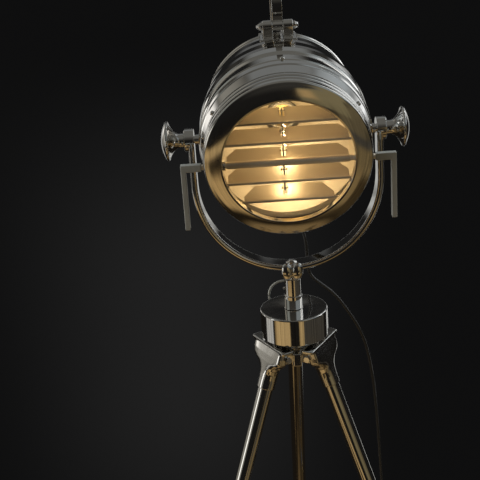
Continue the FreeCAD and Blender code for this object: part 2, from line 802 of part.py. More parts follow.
def make_trunnions():
    solid = drum_shell_outer()
    inner = rod(BACK * -30, BACK * 30, waist_radius - shell_wall)
    studs = []
    nuts = []
    end = V(trunnion_end, 0, 0)
    start = V(waist_radius - shell_wall - trunnion_nut_length, 0, 0)
    shoulder = rod(start, end, trunnion_radius).cut(solid)
    shank = rod(start, V(knob_rim_place - 3, 0, 0), stud_radius)
    stud = fused([shank, shoulder])
    nut = hexagon(start, SIDE, trunnion_nut_radius, trunnion_end - start.x).common(inner)
    nut = nut.cut(rod(start, end, stud_radius + seat_gap))
    for sign in (1, -1):
        studs.append(stud if sign > 0 else mirrored(stud))
        nuts.append(nut if sign > 0 else mirrored(nut))
    add_group("trunnion_studs", studs + nuts)

    foot = eye_outer + face_gap
    bore = stud_radius + seat_gap
    bore_end = knob_rim_place - 2
    knob = [
        (foot, bore), (foot, knob_neck_radius), (foot + 4.5, knob_neck_radius - 0.2),
        (knob_rim_place, knob_rim_radius, foot + 11.5, knob_neck_radius + 4.2),
        (knob_rim_place + knob_rim_width, knob_rim_radius,
         knob_rim_place + knob_rim_width / 2, knob_rim_radius + 0.5),
        crown_to_axis(knob_rim_place + knob_rim_width, knob_rim_radius, knob_end),
        (bore_end, 0), (bore_end, bore),
    ]
    right = spin(knob, SIDE, UP)
    add("right_clamp_knob", right)
    add("left_clamp_knob", turned(right, V(0, 0, 0), UP, 180))


# ---------------------------------------------------------------- louvres
def louvre_height(index):
    """Height of a louvre's axis; the first is the top one."""
    return louvre_middle + louvre_pitch * ((louvre_count - 1) / 2 - index)


def louvre_halves(index):
    """Half-widths of a louvre at its front and rear edges, and its corner's depth."""
    z = louvre_height(index)
    front = min(louvre_widest, math.sqrt(louvre_circle ** 2 - z ** 2))
    if index == louvre_count - 1:
        return front, front - lower_clip, lower_clip_depth
    return front, front - louvre_clip, louvre_clip_depth


def is_drive(index):
    return index == (louvre_count - 1) // 2


def make_louvre(index):
    """A blade with rolled front edge, a notch for the link bar and its pin."""
    z = louvre_height(index)
    front, rear, corner = louvre_halves(index)
    t = louvre_thickness / 2
    origin = V(0, louvre_place, z)

    def flat(x, d, lift):
        return origin + V(x, d, lift)
    blade = prism([
        flat(-front, 0, -t), flat(front, 0, -t), flat(front, louvre_depth - corner, -t),
        flat(rear, louvre_depth, -t), flat(-rear, louvre_depth, -t),
        flat(-front, louvre_depth - corner, -t),
    ], UP * louvre_thickness)
    notch = box(flat(link_place - notch_width / 2, louvre_depth - notch_depth, -5),
                flat(link_place + notch_width / 2, louvre_depth + 1, 5))
    blade = blade.cut(notch)
    ears = []
    for side in (-1, 1):
        inner = link_place + side * notch_width / 2
        ear = rod(flat(inner, link_distance, 0), flat(inner + side * 1.2, link_distance, 0), ear_radius)
        ears.append(ear)
    pin = rod(flat(link_place - notch_width / 2, link_distance, 0),
              flat(link_place + notch_width / 2, link_distance, 0), link_pin_radius)
    reach = math.sqrt((bush_wall - 1.5) ** 2 - z ** 2)
    if is_drive(index):
        roll = rod(flat(-front, 0, 0), flat(front, 0, 0), shaft_radius + 0.9)
        blade = fused([blade, roll] + ears + [pin])
        blade = blade.cut(rod(flat(-front - 1, 0, 0), flat(front + 1, 0, 0), shaft_radius + seat_gap))
    else:
        bar = rod(flat(-reach, 0, 0), flat(reach, 0, 0), louvre_rod_radius)
        blade = fused([blade, bar] + ears + [pin])
    return turned(blade, origin, SIDE, louvre_rise)


def make_bushes(index):
    """Two bushes on the ring's inner wall, one for each end of a louvre's rod."""
    z = louvre_height(index)
    room = rod(V(0, louvre_place - 8, 0), V(0, louvre_place + 10, 0), bush_wall)
    glass_room = rod(V(0, aperture_face, 0), V(0, lens_sleeve_rear + face_gap, 0),
                     lens_radius + lens_sleeve_wall + face_gap)
    radius = shaft_radius if is_drive(index) else louvre_rod_radius
    start = math.sqrt((bush_wall - 1.5) ** 2 - z ** 2) - bush_length
    bush = rod(V(start, louvre_place, z), V(bush_wall, louvre_place, z), bush_radius).common(room)
    bore_end = bush_wall + 3 if is_drive(index) else start + bush_length + 0.1
    bore = rod(V(0, louvre_place, z), V(bore_end, louvre_place, z), radius + running_gap)
    return both_sides(without(bush, [glass_room, bore]))


def make_lever(sign):
    """The L-shaped hand lever on one end of the drive shaft, hanging straight down."""
    inner = lever_outer - lever_square
    top = lever_height / 2
    arm_start = bezel_radius + lever_gap
    half = lever_height / 2
    place = V(0, louvre_place, louvre_middle)
    corner = [
        place + V(arm_start, -half, top), place + V(lever_outer, -half, top),
        place + V(lever_outer, -half, top - lever_length), place + V(inner, -half, top - lever_length),
        place + V(inner, -half, top - lever_height), place + V(arm_start, -half, top - lever_height),
    ]
    lever = prism(corner, BACK * lever_height)
    edges = [e for e in lever.Edges if e.Length > lever_height * 1.5]
    lever = lever.makeFillet(0.7, edges)
    socket = rod(place + SIDE * (arm_start - 1), place + SIDE * (inner - 2), shaft_radius + seat_gap)
    lever = lever.cut(socket)
    lever = turned(lever, place, SIDE, -head_tilt)
    return lever if sign > 0 else mirrored(lever)


def make_louvres():
    bushes = []
    for index in range(louvre_count):
        add("louvre_%d" % (index + 1), make_louvre(index))
        bushes += make_bushes(index)
    add_group("louvre_bushes", bushes)
    end = lever_outer - lever_square - 2.2
    shaft = rod(V(-end, louvre_place, louvre_middle), V(end, louvre_place, louvre_middle), shaft_radius)
    add("louvre_drive_shaft", shaft)
    collar = rod(V(collar_place, louvre_place, louvre_middle),
                 V(collar_place - collar_width, louvre_place, louvre_middle), collar_radius,
                 shaft_radius + seat_gap)
    add("shaft_collar", collar)
    add("right_louvre_lever", make_lever(1))
    add("left_louvre_lever", make_lever(-1))

    rise = math.radians(louvre_rise)
    step = V(0, link_distance * math.cos(rise), link_distance * math.sin(rise))
    top = V(link_place, louvre_place, louvre_height(0)) + step
    bottom = V(link_place, louvre_place, louvre_height(louvre_count - 1)) + step
    half = SIDE * (link_thickness / 2)
    bar = box(bottom - half - V(0, link_half_width, 2.6), top + half + V(0, link_half_width, 2.6))
    holes = []
    for index in range(louvre_count):
        pin = V(link_place, louvre_place, louvre_height(index)) + step
        holes.append(rod(pin - SIDE * 3, pin + SIDE * 3, link_pin_radius + running_gap))
    eyes = []
    for index in range(louvre_count):
        pin = V(link_place, louvre_place, louvre_height(index)) + step
        eyes.append(rod(pin - half, pin + half, ear_radius))
    add("louvre_link_bar", without(fused([bar] + eyes), holes))


# ---------------------------------------------------------------- handle
def clevis(pin, normal, seat):
    """Two rounded lugs on a foot plate; the pin runs along X, the foot seats on a solid."""
    forward = SIDE.cross(normal)
    lugs = []
    for side in (1, -1):
        start = SIDE * (side * lug_inner)
        wide = SIDE * (side * lug_width)
        low = pin - normal * clevis_reach
        cheek = prism([
            low + forward * lug_radius + start, pin + forward * lug_radius + start,
            (pin - forward * lug_radius + start, pin + normal * lug_radius + start),
            low - forward * lug_radius + start,
        ], wide)
        lugs.append(cheek)
    reach = lug_inner + lug_width
    foot = box(V(-reach - 4, -10, -40), V(reach + 4, 10, 0))
    turn = math.degrees(math.atan2(-normal.y, normal.z))
    foot.rotate(V(0, 0, 0), SIDE, turn)
    foot.translate(pin - normal * clevis_foot)
    body = fused(lugs + [foot])
    body = body.cut(rod(pin - SIDE * 30, pin + SIDE * 30, pin_radius + seat_gap))
    return body.cut(seat)


def make_handle():
    front_pin = V(0, clevis_place, clevis_height)
    rear_pin = V(0, clevis_place + handle_span, rear_pin_height)
    lean = math.radians(45)
    rear_normal = V(0, math.sin(lean), math.cos(lean))
    seat = drum_shell_outer()
    start = shell_rear + rear_ring_width + 0.05
    dome = dome_solid(0)
    room = rod(V(0, shell_rear - 30, 0), V(0, start, 0), bezel_radius * 1.5)
    rear = clevis(rear_pin, rear_normal, dome).cut(room)
    rear = max(rear.Solids, key=lambda s: s.CenterOfMass.z)
    add_group("handle_clevises", [clevis(front_pin, UP, seat), rear])

    t = handle_thickness / 2
    crest = clevis_height + handle_rise
    bend = handle_span / 2
    y0 = front_pin.y
    y1 = rear_pin.y
    shoulder = crest - bend

    def strip(offset):
        """The handle's line, set outward by an offset."""
        r = bend + offset
        mid = (y0 + y1) / 2
        return [
            V(0, y0 - offset, front_pin.z), V(0, y0 - offset, shoulder),
            (V(0, y1 + offset, shoulder), V(0, mid, shoulder + r)),
            V(0, y1 + offset, rear_pin.z),
        ]
    outer = strip(t)
    inner = strip(-t)
    half = SIDE * (-handle_width / 2)
    line = outer + [inner[3], inner[2][0], (inner[1], inner[2][1]), inner[0]]
    shifted = []
    for item in line:
        if isinstance(item, tuple):
            shifted.append((item[0] + half, item[1] + half))
        else:
            shifted.append(item + half)
    bow = prism(shifted, SIDE * handle_width)
    eye_size = lug_radius - 1.0
    eyes = [rod(p + half, p - half, eye_size) for p in (front_pin, rear_pin)]
    handle = fused([bow] + eyes)
    holes = [rod(p + half * 2, p - half * 2, pin_radius + seat_gap) for p in (front_pin, rear_pin)]
    add("carry_handle", without(handle, holes))

    reach = lug_inner + lug_width
    pins = []
    nuts = []
    for p in (front_pin, rear_pin):
        pins.append(rod(p - SIDE * (reach + 4), p + SIDE * (reach + 4), pin_radius))
        for sign in (1, -1):
            axis = SIDE * sign
            base = p + axis * reach
            shoulder = base + axis * (acorn_height * 0.45)
            body = rod(base, shoulder, acorn_radius)
            cap = dome_head(shoulder, axis, acorn_radius * 0.86, acorn_height * 0.55)
            nut = fused([body, cap]).cut(rod(base, base + axis * 4, pin_radius + seat_gap))
            nuts.append(nut)
    add_group("handle_pins", pins + nuts)


# ---------------------------------------------------------------- lamp
def make_lamp():
    rim_radius = waist_radius - shell_wall - reflector_gap
    bowl_radius = rim_radius - reflector_flange
    apex_radius = holder_radius + 3
    outer = [(reflector_rim, bowl_radius)]
    for k in range(1, reflector_steps + 1):
        share = k / reflector_steps
        radius = bowl_radius + (apex_radius - bowl_radius) * share
        depth = reflector_rim + reflector_depth * math.sqrt(share) * 0.5 + reflector_depth * share * 0.5
        outer.append((depth - 1.6, radius + 0.8))
        outer.append((depth, radius))
    inner = []
    for place, radius in reversed(outer):
        inner.append((place - reflector_wall * 1.2, max(radius - reflector_wall * 0.3, apex_radius)))
    flange = [(reflector_rim - 1.2, rim_radius), (reflector_rim, rim_radius)]
    add("reflector", spin(flange + outer + inner, BACK, UP))

    front = holder_front
    rear = holder_front + holder_length
    holder = [
        (front, holder_bore), (front, holder_radius - 2), (front + 2, holder_radius),
        (rear, holder_radius), (rear, 0), (rear - 6, 0), (rear - 6, holder_bore),
    ]
    add("lamp_holder", spin(holder, BACK, UP))
    bracket = box(V(-dome_radius, rear, -bracket_half),
                  V(dome_radius, rear + bracket_thickness, bracket_half))
    room = rod(V(0, rear - 1, 0), V(0, rear + bracket_thickness + 1, 0), dome_radius - bracket_room)
    add("holder_bracket", bracket.common(room))
    cap = rod(V(0, front + 1, 0), V(0, rear - 7, 0), cap_radius)
    tip = rod(V(0, rear - 7, 0), V(0, rear - 6.1, 0), 5.0)
    add("bulb_cap", fused([cap, tip]))
    glass = [
        (front + 0.9, 0), (front + 0.9, cap_radius - 0.2), (front - 10, cap_radius + 0.6),
        (bulb_front + bulb_radius, bulb_radius, front - 30, 18.4),
        crown_to_axis(bulb_front + bulb_radius, bulb_radius, bulb_front),
    ]
    add("bulb_glass", spin(glass, BACK, UP))


# ---------------------------------------------------------------- cord
def cord_tube(points, name):
    """A tube on straight runs joined by arcs as large as the runs allow."""
    edges = []
    radii = []
    start = points[0]
    for index in range(1, len(points) - 1):
        before = points[index] - points[index - 1]
        after = points[index + 1] - points[index]
        shorter = min(before.Length, after.Length)
        a = V(before)
        a.normalize()
        b = V(after)
        b.normalize()
        turn = a.getAngle(b)
        setback = 0.45 * shorter
        radius = setback / math.tan(turn / 2)
        radii.append(radius)
        leave = points[index] - a * setback
        join = points[index] + b * setback
        bisector = b - a
        bisector.normalize()
        centre = points[index] + bisector * (radius / math.cos(turn / 2))
        middle = centre - bisector * radius
        edges.append(Part.LineSegment(start, leave).toShape())
        edges.append(Part.Arc(leave, middle, join).toShape())
        start = join
    edges.append(Part.LineSegment(start, points[-1]).toShape())
    wire = Part.Wire(edges)
    circle = Part.Wire([Part.makeCircle(cord_radius, points[0], points[1] - points[0])])
    tube = wire.makePipeShell([circle], True, False)
    section = math.pi * cord_radius ** 2
    print("%s: length %.1f, volume/section %.1f, smallest radius %.1f"
          % (name, wire.Length, tube.Volume / section, min(radii) if radii else 0))
    return tube


def head_to_lamp(point):
    """Where a point of the head's frame is on the tilted head."""
    t = math.radians(head_tilt)
    return V(point.x, point.y * math.cos(t) - point.z * math.sin(t),
             pivot_height + point.y * math.sin(t) + point.z * math.cos(t))


def cord_out():
    """The direction away from the pivot at the joint between the head's and the yoke's cord."""
    drop = math.sqrt(stub_radius ** 2 - stub_back ** 2)
    out = V(0, stub_back, -drop)
    out.normalize()
    return V(stub_side, stub_back, pivot_height - drop), out


def make_cord():
    first, out = cord_out()
    gland_top = head_to_lamp(V(gland_side, gland_place, -84.0))
    stub_end = first - out * (cord_gap / 2)
    bend = stub_end - out * 12.0
    axis = bend - gland_top
    axis.normalize()
    seat = gland_top + axis * 4.9
    nose = seat + axis * gland_length
    flange = rod(seat, seat + axis * 3.0, cord_radius + 5.0)
    cone = Part.makeCone(cord_radius + 3.4, cord_radius + 1.2, gland_length - 3.0, seat + axis * 3.0, axis)
    throat = rod(gland_top - axis * 3, seat, cord_radius + 2.5)
    gland = fused([flange, cone, throat])
    shell = pieces["drum_shell"]
    gland = gland.cut(shell)
    gland = max(gland.Solids, key=lambda s: s.Volume)
    entry = gland_top - axis * 2
    gland = gland.cut(rod(entry - axis * 2, nose + axis * 2, cord_radius + seat_gap))
    add("cord_gland", gland)

    add("cord_head", cord_tube([entry, bend, stub_end], "cord_head"))
    top = V(23.4, 92.0, drum_top + 29)
    middle = [
        first + out * (cord_gap / 2), first + out * 14 + SIDE * 0.6, V(18.8, 99.0, drum_top + 66),
        V(top.x, top.y, drum_top + 45), top + UP * (cord_gap / 2),
    ]
    add("cord_yoke", cord_tube(middle, "cord_yoke"))

    z = cord_radius + 0.05
    body_start = switch_end + BACK * switch_length
    route = [
        top - UP * (cord_gap / 2), V(top.x, top.y, drum_top + 10),
        V(29.0, 91.2, drum_top - 1.5), V(41.5, 90.0, drum_top - 12.0), V(55.2, 89.4, drum_top - 24.0),
        V(67.0, 89.6, drum_top - 40.5), V(77.8, 90.0, drum_top - 59.0), V(87.6, 90.6, drum_top - 78.0),
        V(95.4, 92.0, drum_top - 101.0), V(101.8, 93.4, drum_top - 135.0), V(106.4, 94.6, drum_top - 182.0),
        V(109.6, 96.0, drum_top - 236.0), V(111.8, 98.0, drum_top - 290.0), V(114.0, 101.0, drum_top - 328.0),
        V(118.0, 103.6, drum_top - 357.0), V(128.6, 106.0, 6.4), V(145.0, 106.6, z),
        V(159.0, 100.0, z), V(165.0, 86.0, z), V(body_start.x, body_start.y, z),
    ]
    tubes = [cord_tube(route, "cord_lower")]
    tubes.append(cord_tube(switch_to_coil(z), "cord_bridge"))
    tubes.append(cord_tube(coil_to_plug(z), "cord_lead"))
    add_group("cord_lower", tubes)
    make_switch(body_start, z)

    ring = rod(coil_centre, coil_centre + UP * coil_height, coil_radius + coil_half_width,
               coil_radius - coil_half_width)
    soften = [e for e in ring.Edges if e.Length > 20]
    add("cord_coil", ring.makeFillet(2.4, soften))
    make_plug()


def switch_to_coil(z):
    """A half turn on the table, from the switch round to the coil's front."""
    coil_edge = coil_centre.y - coil_radius - coil_half_width - cord_gap
    width = (switch_end.x - coil_centre.x) / 2
    middle = (switch_end.x + coil_centre.x) / 2
    half_side = width * math.tan(math.radians(22.5))
    low = min(switch_end.y, coil_edge) - half_side
    return [
        V(switch_end.x, switch_end.y, z), V(middle + width, low - half_side, z),
        V(middle + half_side, low - width, z), V(middle - half_side, low - width, z),
        V(middle - width, low - half_side, z), V(coil_centre.x, coil_edge, z),
    ]


def coil_to_plug(z):
    """A quarter turn on the table, from the coil's side to the plug."""
    corner = 12.4
    coil_edge = coil_centre.x - coil_radius - coil_half_width - cord_gap
    return [
        V(coil_edge, coil_centre.y, z), V(plug_root.x + corner, coil_centre.y, z),
        V(plug_root.x, coil_centre.y + corner, z), V(plug_root.x, plug_root.y, z),
    ]


def make_switch(start, z):
    body = box(V(start.x - switch_half, switch_end.y, 0.2),
               V(start.x + switch_half, start.y, 0.2 + switch_height))
    sides = [e for e in body.Edges if abs(e.tangentAt(0).z) > 0.9]
    body = body.makeFillet(6.5, sides)
    tops = [e for e in body.Edges if abs(e.CenterOfMass.z - switch_height - 0.2) < 0.05]
    body = body.makeFillet(2.2, tops)
    middle = V(start.x, (start.y + switch_end.y) / 2, switch_height + 0.2 - rocker_drop)
    window = box(middle - V(4.6, rocker_half + 0.7, 4.4), middle + V(4.6, rocker_half + 0.7, 8))
    entry_holes = rod(V(start.x, switch_end.y - 1, z), V(start.x, start.y + 1, z), 0.8)
    body = body.cut(window).cut(entry_holes)
    rocker = prism([
        middle + V(-4.2, -rocker_half, 4.6), middle + V(-4.2, 0, 3.0),
        middle + V(-4.2, rocker_half, 4.6), middle + V(-4.2, rocker_half - 2.0, -2.2),
        middle + V(-4.2, -rocker_half + 2.0, -2.2),
    ], SIDE * 8.4)
    pivot = rod(middle - SIDE * 6.4, middle + SIDE * 6.4, 1.2)
    rocker_hole = rod(middle - SIDE * 6.8, middle + SIDE * 6.8, 1.2 + running_gap)
    add("switch_body", body.cut(rocker_hole))
    add("switch_rocker", fused([rocker, pivot]))
    print("rocker axis", middle)


def make_plug():
    root = plug_root + UP * plug_height
    barrel = rod(root + BACK * 13.0, root + BACK * plug_length, plug_radius)
    grip = Part.makeCone(4.2, 9.0, 14.0, root, BACK)
    tail = box(plug_root + V(-3.2, 0, 0.3), plug_root + V(3.2, 20.0, plug_height))
    add("plug_body", fused([barrel, grip, tail]))
    pins = []
    for side in (-1, 1):
        start = root + BACK * plug_length + SIDE * (side * 6.35)
        pins.append(box(start - V(0.75, 0, 3.1), start + V(0.75, 17.0, 3.1)))
    add_group("plug_pins", pins)


# ---------------------------------------------------------------- assembly
make_base()
make_crown()
for leg_name, leg_azimuth in leg_azimuths.items():
    make_leg(leg_name, leg_azimuth)
make_yoke()
make_hub()
make_pan_lever()
before_head = set(pieces)
make_front_ring()
make_drum()
make_trunnions()
make_louvres()
make_handle()
make_lamp()
for node in set(pieces) - before_head:
    pieces[node].rotate(V(0, 0, 0), SIDE, head_tilt)
    pieces[node].translate(V(0, 0, pivot_height))
make_cord()

# The origin is on the table, under the middle of the lamp's own box.
front = pieces["front_bezel"].optimalBoundingBox(False, False).YMin
rear = pieces["rear_leg_foot"].optimalBoundingBox(False, False).YMax
shift = V(0, -(front + rear) / 2, 0)
os.makedirs("parts", exist_ok=True)
for node, shape in pieces.items():
    shape.translate(shift)
    shape.exportStep("parts/%s.step" % node)
print("nodes", len(pieces), "shift", shift)
print("pivot", V(0, 0, pivot_height) + shift)
print("drive axis", head_to_lamp(V(0, louvre_place, louvre_middle)) + shift)
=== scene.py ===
import json
from math import asin, atan, copysign, cos, degrees, pi, radians, sin, tan
import bmesh
import bpy
from mathutils import Matrix, Vector


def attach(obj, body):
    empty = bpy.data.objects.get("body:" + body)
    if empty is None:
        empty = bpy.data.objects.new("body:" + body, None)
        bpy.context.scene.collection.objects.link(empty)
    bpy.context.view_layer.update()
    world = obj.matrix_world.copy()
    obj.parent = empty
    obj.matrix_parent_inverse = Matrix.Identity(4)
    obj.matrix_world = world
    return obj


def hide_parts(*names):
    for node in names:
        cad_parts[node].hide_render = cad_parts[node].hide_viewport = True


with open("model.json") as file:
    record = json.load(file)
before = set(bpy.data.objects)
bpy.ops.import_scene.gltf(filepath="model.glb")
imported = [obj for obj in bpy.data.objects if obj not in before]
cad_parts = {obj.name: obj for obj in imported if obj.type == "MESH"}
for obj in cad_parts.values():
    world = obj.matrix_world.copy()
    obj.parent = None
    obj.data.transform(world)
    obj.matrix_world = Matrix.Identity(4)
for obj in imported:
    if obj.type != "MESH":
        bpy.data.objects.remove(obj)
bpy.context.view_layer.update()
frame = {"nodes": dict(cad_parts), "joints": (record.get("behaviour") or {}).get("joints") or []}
nodes = frame["nodes"]
joints = {joint["name"]: joint for joint in frame["joints"]}
mm = 0.001
pivot = Vector(joints["head_tilt"]["pos_m"])
stemAxis = Vector(joints["yoke_pan"]["pos_m"])
headTurn = 10.7          # degrees that the head looks down
headPlace = Matrix.Translation(pivot) @ Matrix.Rotation(radians(headTurn), 4, "X")
basePlace = Matrix.Translation((0, stemAxis.y, 0))
print("frame loaded:", len(nodes), "nodes")


# ---- shader wiring
class Wire:
    # one value that runs through a shader tree, so that maths on it can be written out
    def __init__(self, shade, socket):
        self.shade, self.socket = shade, socket

    def __add__(self, other): return self.shade.maths("ADD", self, other)
    def __radd__(self, other): return self.shade.maths("ADD", other, self)
    def __sub__(self, other): return self.shade.maths("SUBTRACT", self, other)
    def __rsub__(self, other): return self.shade.maths("SUBTRACT", other, self)
    def __mul__(self, other): return self.shade.maths("MULTIPLY", self, other)
    def __rmul__(self, other): return self.shade.maths("MULTIPLY", other, self)
    def __truediv__(self, other): return self.shade.maths("DIVIDE", self, other)
    def __rtruediv__(self, other): return self.shade.maths("DIVIDE", other, self)

    def clipped(self, low, high):
        return self.shade.node("ShaderNodeMapRange", {"clamp": True}, {0: self, 1: low, 2: high})


class Shade:
    # a material with its Principled shader, built node by node
    def __init__(self, name):
        self.material = bpy.data.materials.new(name)
        self.material.use_nodes = True
        self.tree = self.material.node_tree
        self.tree.nodes.clear()
        self.output = self.tree.nodes.new("ShaderNodeOutputMaterial")
        self.surface = self.tree.nodes.new("ShaderNodeBsdfPrincipled")
        self.tree.links.new(self.surface.outputs[0], self.output.inputs[0])

    def node(self, kind, settings=None, values=None, out=0):
        made = self.tree.nodes.new(kind)
        for key, value in (settings or {}).items():
            if key == "stops":
                ramp = made.color_ramp
                while len(ramp.elements) < len(value):
                    ramp.elements.new(0.5)
                for element, (place, colour) in zip(ramp.elements, value):
                    element.position, element.color = place, (*colour, 1)
            else:
                setattr(made, key, value)
        for key, value in (values or {}).items():
            self.feed(made.inputs[key], value)
        return Wire(self, made.outputs[out])

    def feed(self, socket, value):
        if isinstance(value, Wire):
            self.tree.links.new(value.socket, socket)
        elif socket.type == "RGBA" and len(value) == 3:
            socket.default_value = (*value, 1)
        else:
            socket.default_value = value

    def set(self, **values):
        for key, value in values.items():
            self.feed(self.surface.inputs[key.replace("_", " ")], value)
        return self

    def maths(self, operation, *values):
        return self.node("ShaderNodeMath", {"operation": operation}, dict(enumerate(values)))

    def place(self, stretch=(1, 1, 1)):
        # the piece's own coordinates, in metres
        spot = self.node("ShaderNodeTexCoord", out=3)
        return self.node("ShaderNodeMapping", {}, {"Vector": spot, "Scale": stretch})

    def noise(self, scale, detail, rough, stretch=(1, 1, 1)):
        return self.node("ShaderNodeTexNoise", {}, {"Vector": self.place(stretch), "Scale": scale, "Detail": detail,
                                                    "Roughness": rough})

    def mix(self, share, first, second):
        return self.node("ShaderNodeMix", {"data_type": "RGBA"}, {0: share, 6: first, 7: second}, 2)

    def bump(self, height, strength, distance, **under):
        values = {"Height": height, "Strength": strength, "Distance": distance, **under}
        return self.node("ShaderNodeBump", {}, values)


# ---- meshes
tiny = 1e-6                          # a radius or a gap that counts as none
flatWithin = radians(0.6)       # faces that meet flatter than this are one face


def rounded(points, closed=True, steps=4):
    # a line of (along, radius, fillet) with each corner turned into a small curve
    dense = []
    count = len(points)
    for index, point in enumerate(points):
        fillet = point[2] if len(point) > 2 else 0
        here = Vector(point[:2])
        if fillet <= 0 or (not closed and index in (0, count - 1)):
            dense.append(here)
            continue
        before = Vector(points[index - 1][:2]) - here
        after = Vector(points[(index + 1) % count][:2]) - here
        turn = pi - before.angle(after)
        most = 0.48 * min(before.length, after.length)      # two neighbouring curves never meet
        back = min(fillet * tan(turn / 2), most)
        start, end = here + before.normalized() * back, here + after.normalized() * back
        for k in range(steps + 1):
            s = k / steps
            dense.append(start * (1 - s) ** 2 + here * 2 * s * (1 - s) + end * s * s)
    return dense


def arcLine(centre, radius, first, last, steps):
    # points on an arc, angles in degrees from the along axis
    made = []
    for k in range(steps + 1):
        turn = radians(first + (last - first) * k / steps)
        made.append((centre[0] + radius * cos(turn), centre[1] + radius * sin(turn)))
    return made


def keepObject(name, mesh):
    piece = bpy.data.objects.new(name, mesh)
    bpy.context.scene.collection.objects.link(piece)
    return piece


def shadeSmooth(piece):
    piece.data.polygons.foreach_set("use_smooth", [True] * len(piece.data.polygons))
    return piece


def fromBmesh(name, shape, place=Matrix.Identity(4)):
    # a shape drawn in millimetres becomes a smooth object in metres, at its place
    bmesh.ops.recalc_face_normals(shape, faces=shape.faces)
    mesh = bpy.data.meshes.new(name)
    shape.to_mesh(mesh)
    shape.free()
    mesh.transform(Matrix.Scale(mm, 4))
    mesh.transform(place)
    return shadeSmooth(keepObject(name, mesh))


def turnTo(axis):
    # the matrix that turns local Z to an axis
    return Vector((0, 0, 1)).rotation_difference(Vector(axis)).to_matrix().to_4x4()


def addLathe(shape, line, turn, segments, closed=False):
    # turn a line of (along, radius) about local Z, into an open bmesh, and place it by a matrix
    rings = []
    for along, radius in line:
        if abs(radius) < tiny:
            rings.append([shape.verts.new(turn @ Vector((0, 0, along)))])
            continue
        circle = []
        for k in range(segments):
            angle = 2 * pi * k / segments
            point = Vector((radius * cos(angle), radius * sin(angle), along))
            circle.append(shape.verts.new(turn @ point))
        rings.append(circle)
    pairs = list(zip(rings, rings[1:]))
    if closed:
        pairs.append((rings[-1], rings[0]))
    for first, second in pairs:
        if len(first) == 1 and len(second) == 1:
            continue
        for k in range(segments):
            after = (k + 1) % segments
            if len(first) == 1:
                shape.faces.new((first[0], second[after], second[k]))
            elif len(second) == 1:
                shape.faces.new((first[k], first[after], second[0]))
            else:
                shape.faces.new((first[k], first[after], second[after], second[k]))


def lathe(name, line, axis=(0, 0, 1), place=Matrix.Identity(4), segments=96, closed=True):
    shape = bmesh.new()
    addLathe(shape, line, turnTo(axis), segments, closed)
    return fromBmesh(name, shape, place)


def addLoft(shape, sections):
    # join rings of points into a skin with flat ends
    loops = [[shape.verts.new(point) for point in section] for section in sections]
    count = len(loops[0])
    for first, second in zip(loops, loops[1:]):
        for k in range(count):
            after = (k + 1) % count
            shape.faces.new((first[k], first[after], second[after], second[k]))
    shape.faces.new(loops[0][::-1])
    shape.faces.new(loops[-1])


def addPrism(shape, outline, depth):
    # a flat outline of points pushed along a vector
    first = [shape.verts.new(point) for point in outline]
    second = [shape.verts.new(Vector(point) + depth) for point in outline]
    shape.faces.new(first[::-1])
    shape.faces.new(second)
    for k in range(len(first)):
        after = (k + 1) % len(first)
        shape.faces.new((first[k], first[after], second[after], second[k]))


def softEdges(piece, width, segments=3, angle=30):
    bevel = piece.modifiers.new("edge", "BEVEL")
    bevel.width, bevel.segments = width * mm, segments
    bevel.limit_method, bevel.angle_limit = "ANGLE", radians(angle)
    return piece


def evenShade(piece):
    piece.modifiers.new("shade", "WEIGHTED_NORMAL").keep_sharp = False
    return piece


def plain(piece):
    # turn what the modifiers make into the piece's own mesh
    scene = bpy.context.evaluated_depsgraph_get()
    made = bpy.data.meshes.new_from_object(piece.evaluated_get(scene), depsgraph=scene)
    piece.modifiers.clear()
    old = piece.data
    piece.data = made
    bpy.data.meshes.remove(old)
    return piece


def combine(piece, tool, operation):
    # cut by the tool, or joined with it, and the tool is thrown away
    join = piece.modifiers.new("combine", "BOOLEAN")
    join.operation, join.object, join.solver = operation, tool, "EXACT"
    plain(piece)
    bpy.data.objects.remove(tool)
    return piece


def cast(piece, voxel, rounds):
    # the soft edges of a polished casting
    grid = piece.modifiers.new("grid", "REMESH")
    grid.mode, grid.voxel_size, grid.use_smooth_shade = "VOXEL", voxel * mm, True
    soft = piece.modifiers.new("soft", "SMOOTH")
    soft.factor, soft.iterations = 0.5, rounds
    return shadeSmooth(plain(piece))


def paint(piece, material):
    piece.data.materials.clear()
    piece.data.materials.append(material)
    return piece


def stand(piece, body, material, slot, *replaced):
    # a finished piece: its metal, the body that it rides on and the nodes that it stands for
    paint(piece, material)
    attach(piece, body)
    if replaced:
        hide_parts(*replaced)
    return piece


def standMetal(piece, body, metal, node):
    # a plated piece with even shading, in place of its node
    return stand(evenShade(piece), body, metal, "polished_nickel", node)


def copyNode(name, node):
    # a node's own shape, its loose triangles joined and its flat faces made whole
    mesh = nodes[node].data.copy()
    shape = bmesh.new()
    shape.from_mesh(mesh)
    bmesh.ops.remove_doubles(shape, verts=shape.verts, dist=tiny)
    bmesh.ops.dissolve_limit(shape, angle_limit=flatWithin, verts=shape.verts, edges=shape.edges)
    shape.to_mesh(mesh)
    shape.free()
    mesh.name = name
    return shadeSmooth(keepObject(name, mesh))


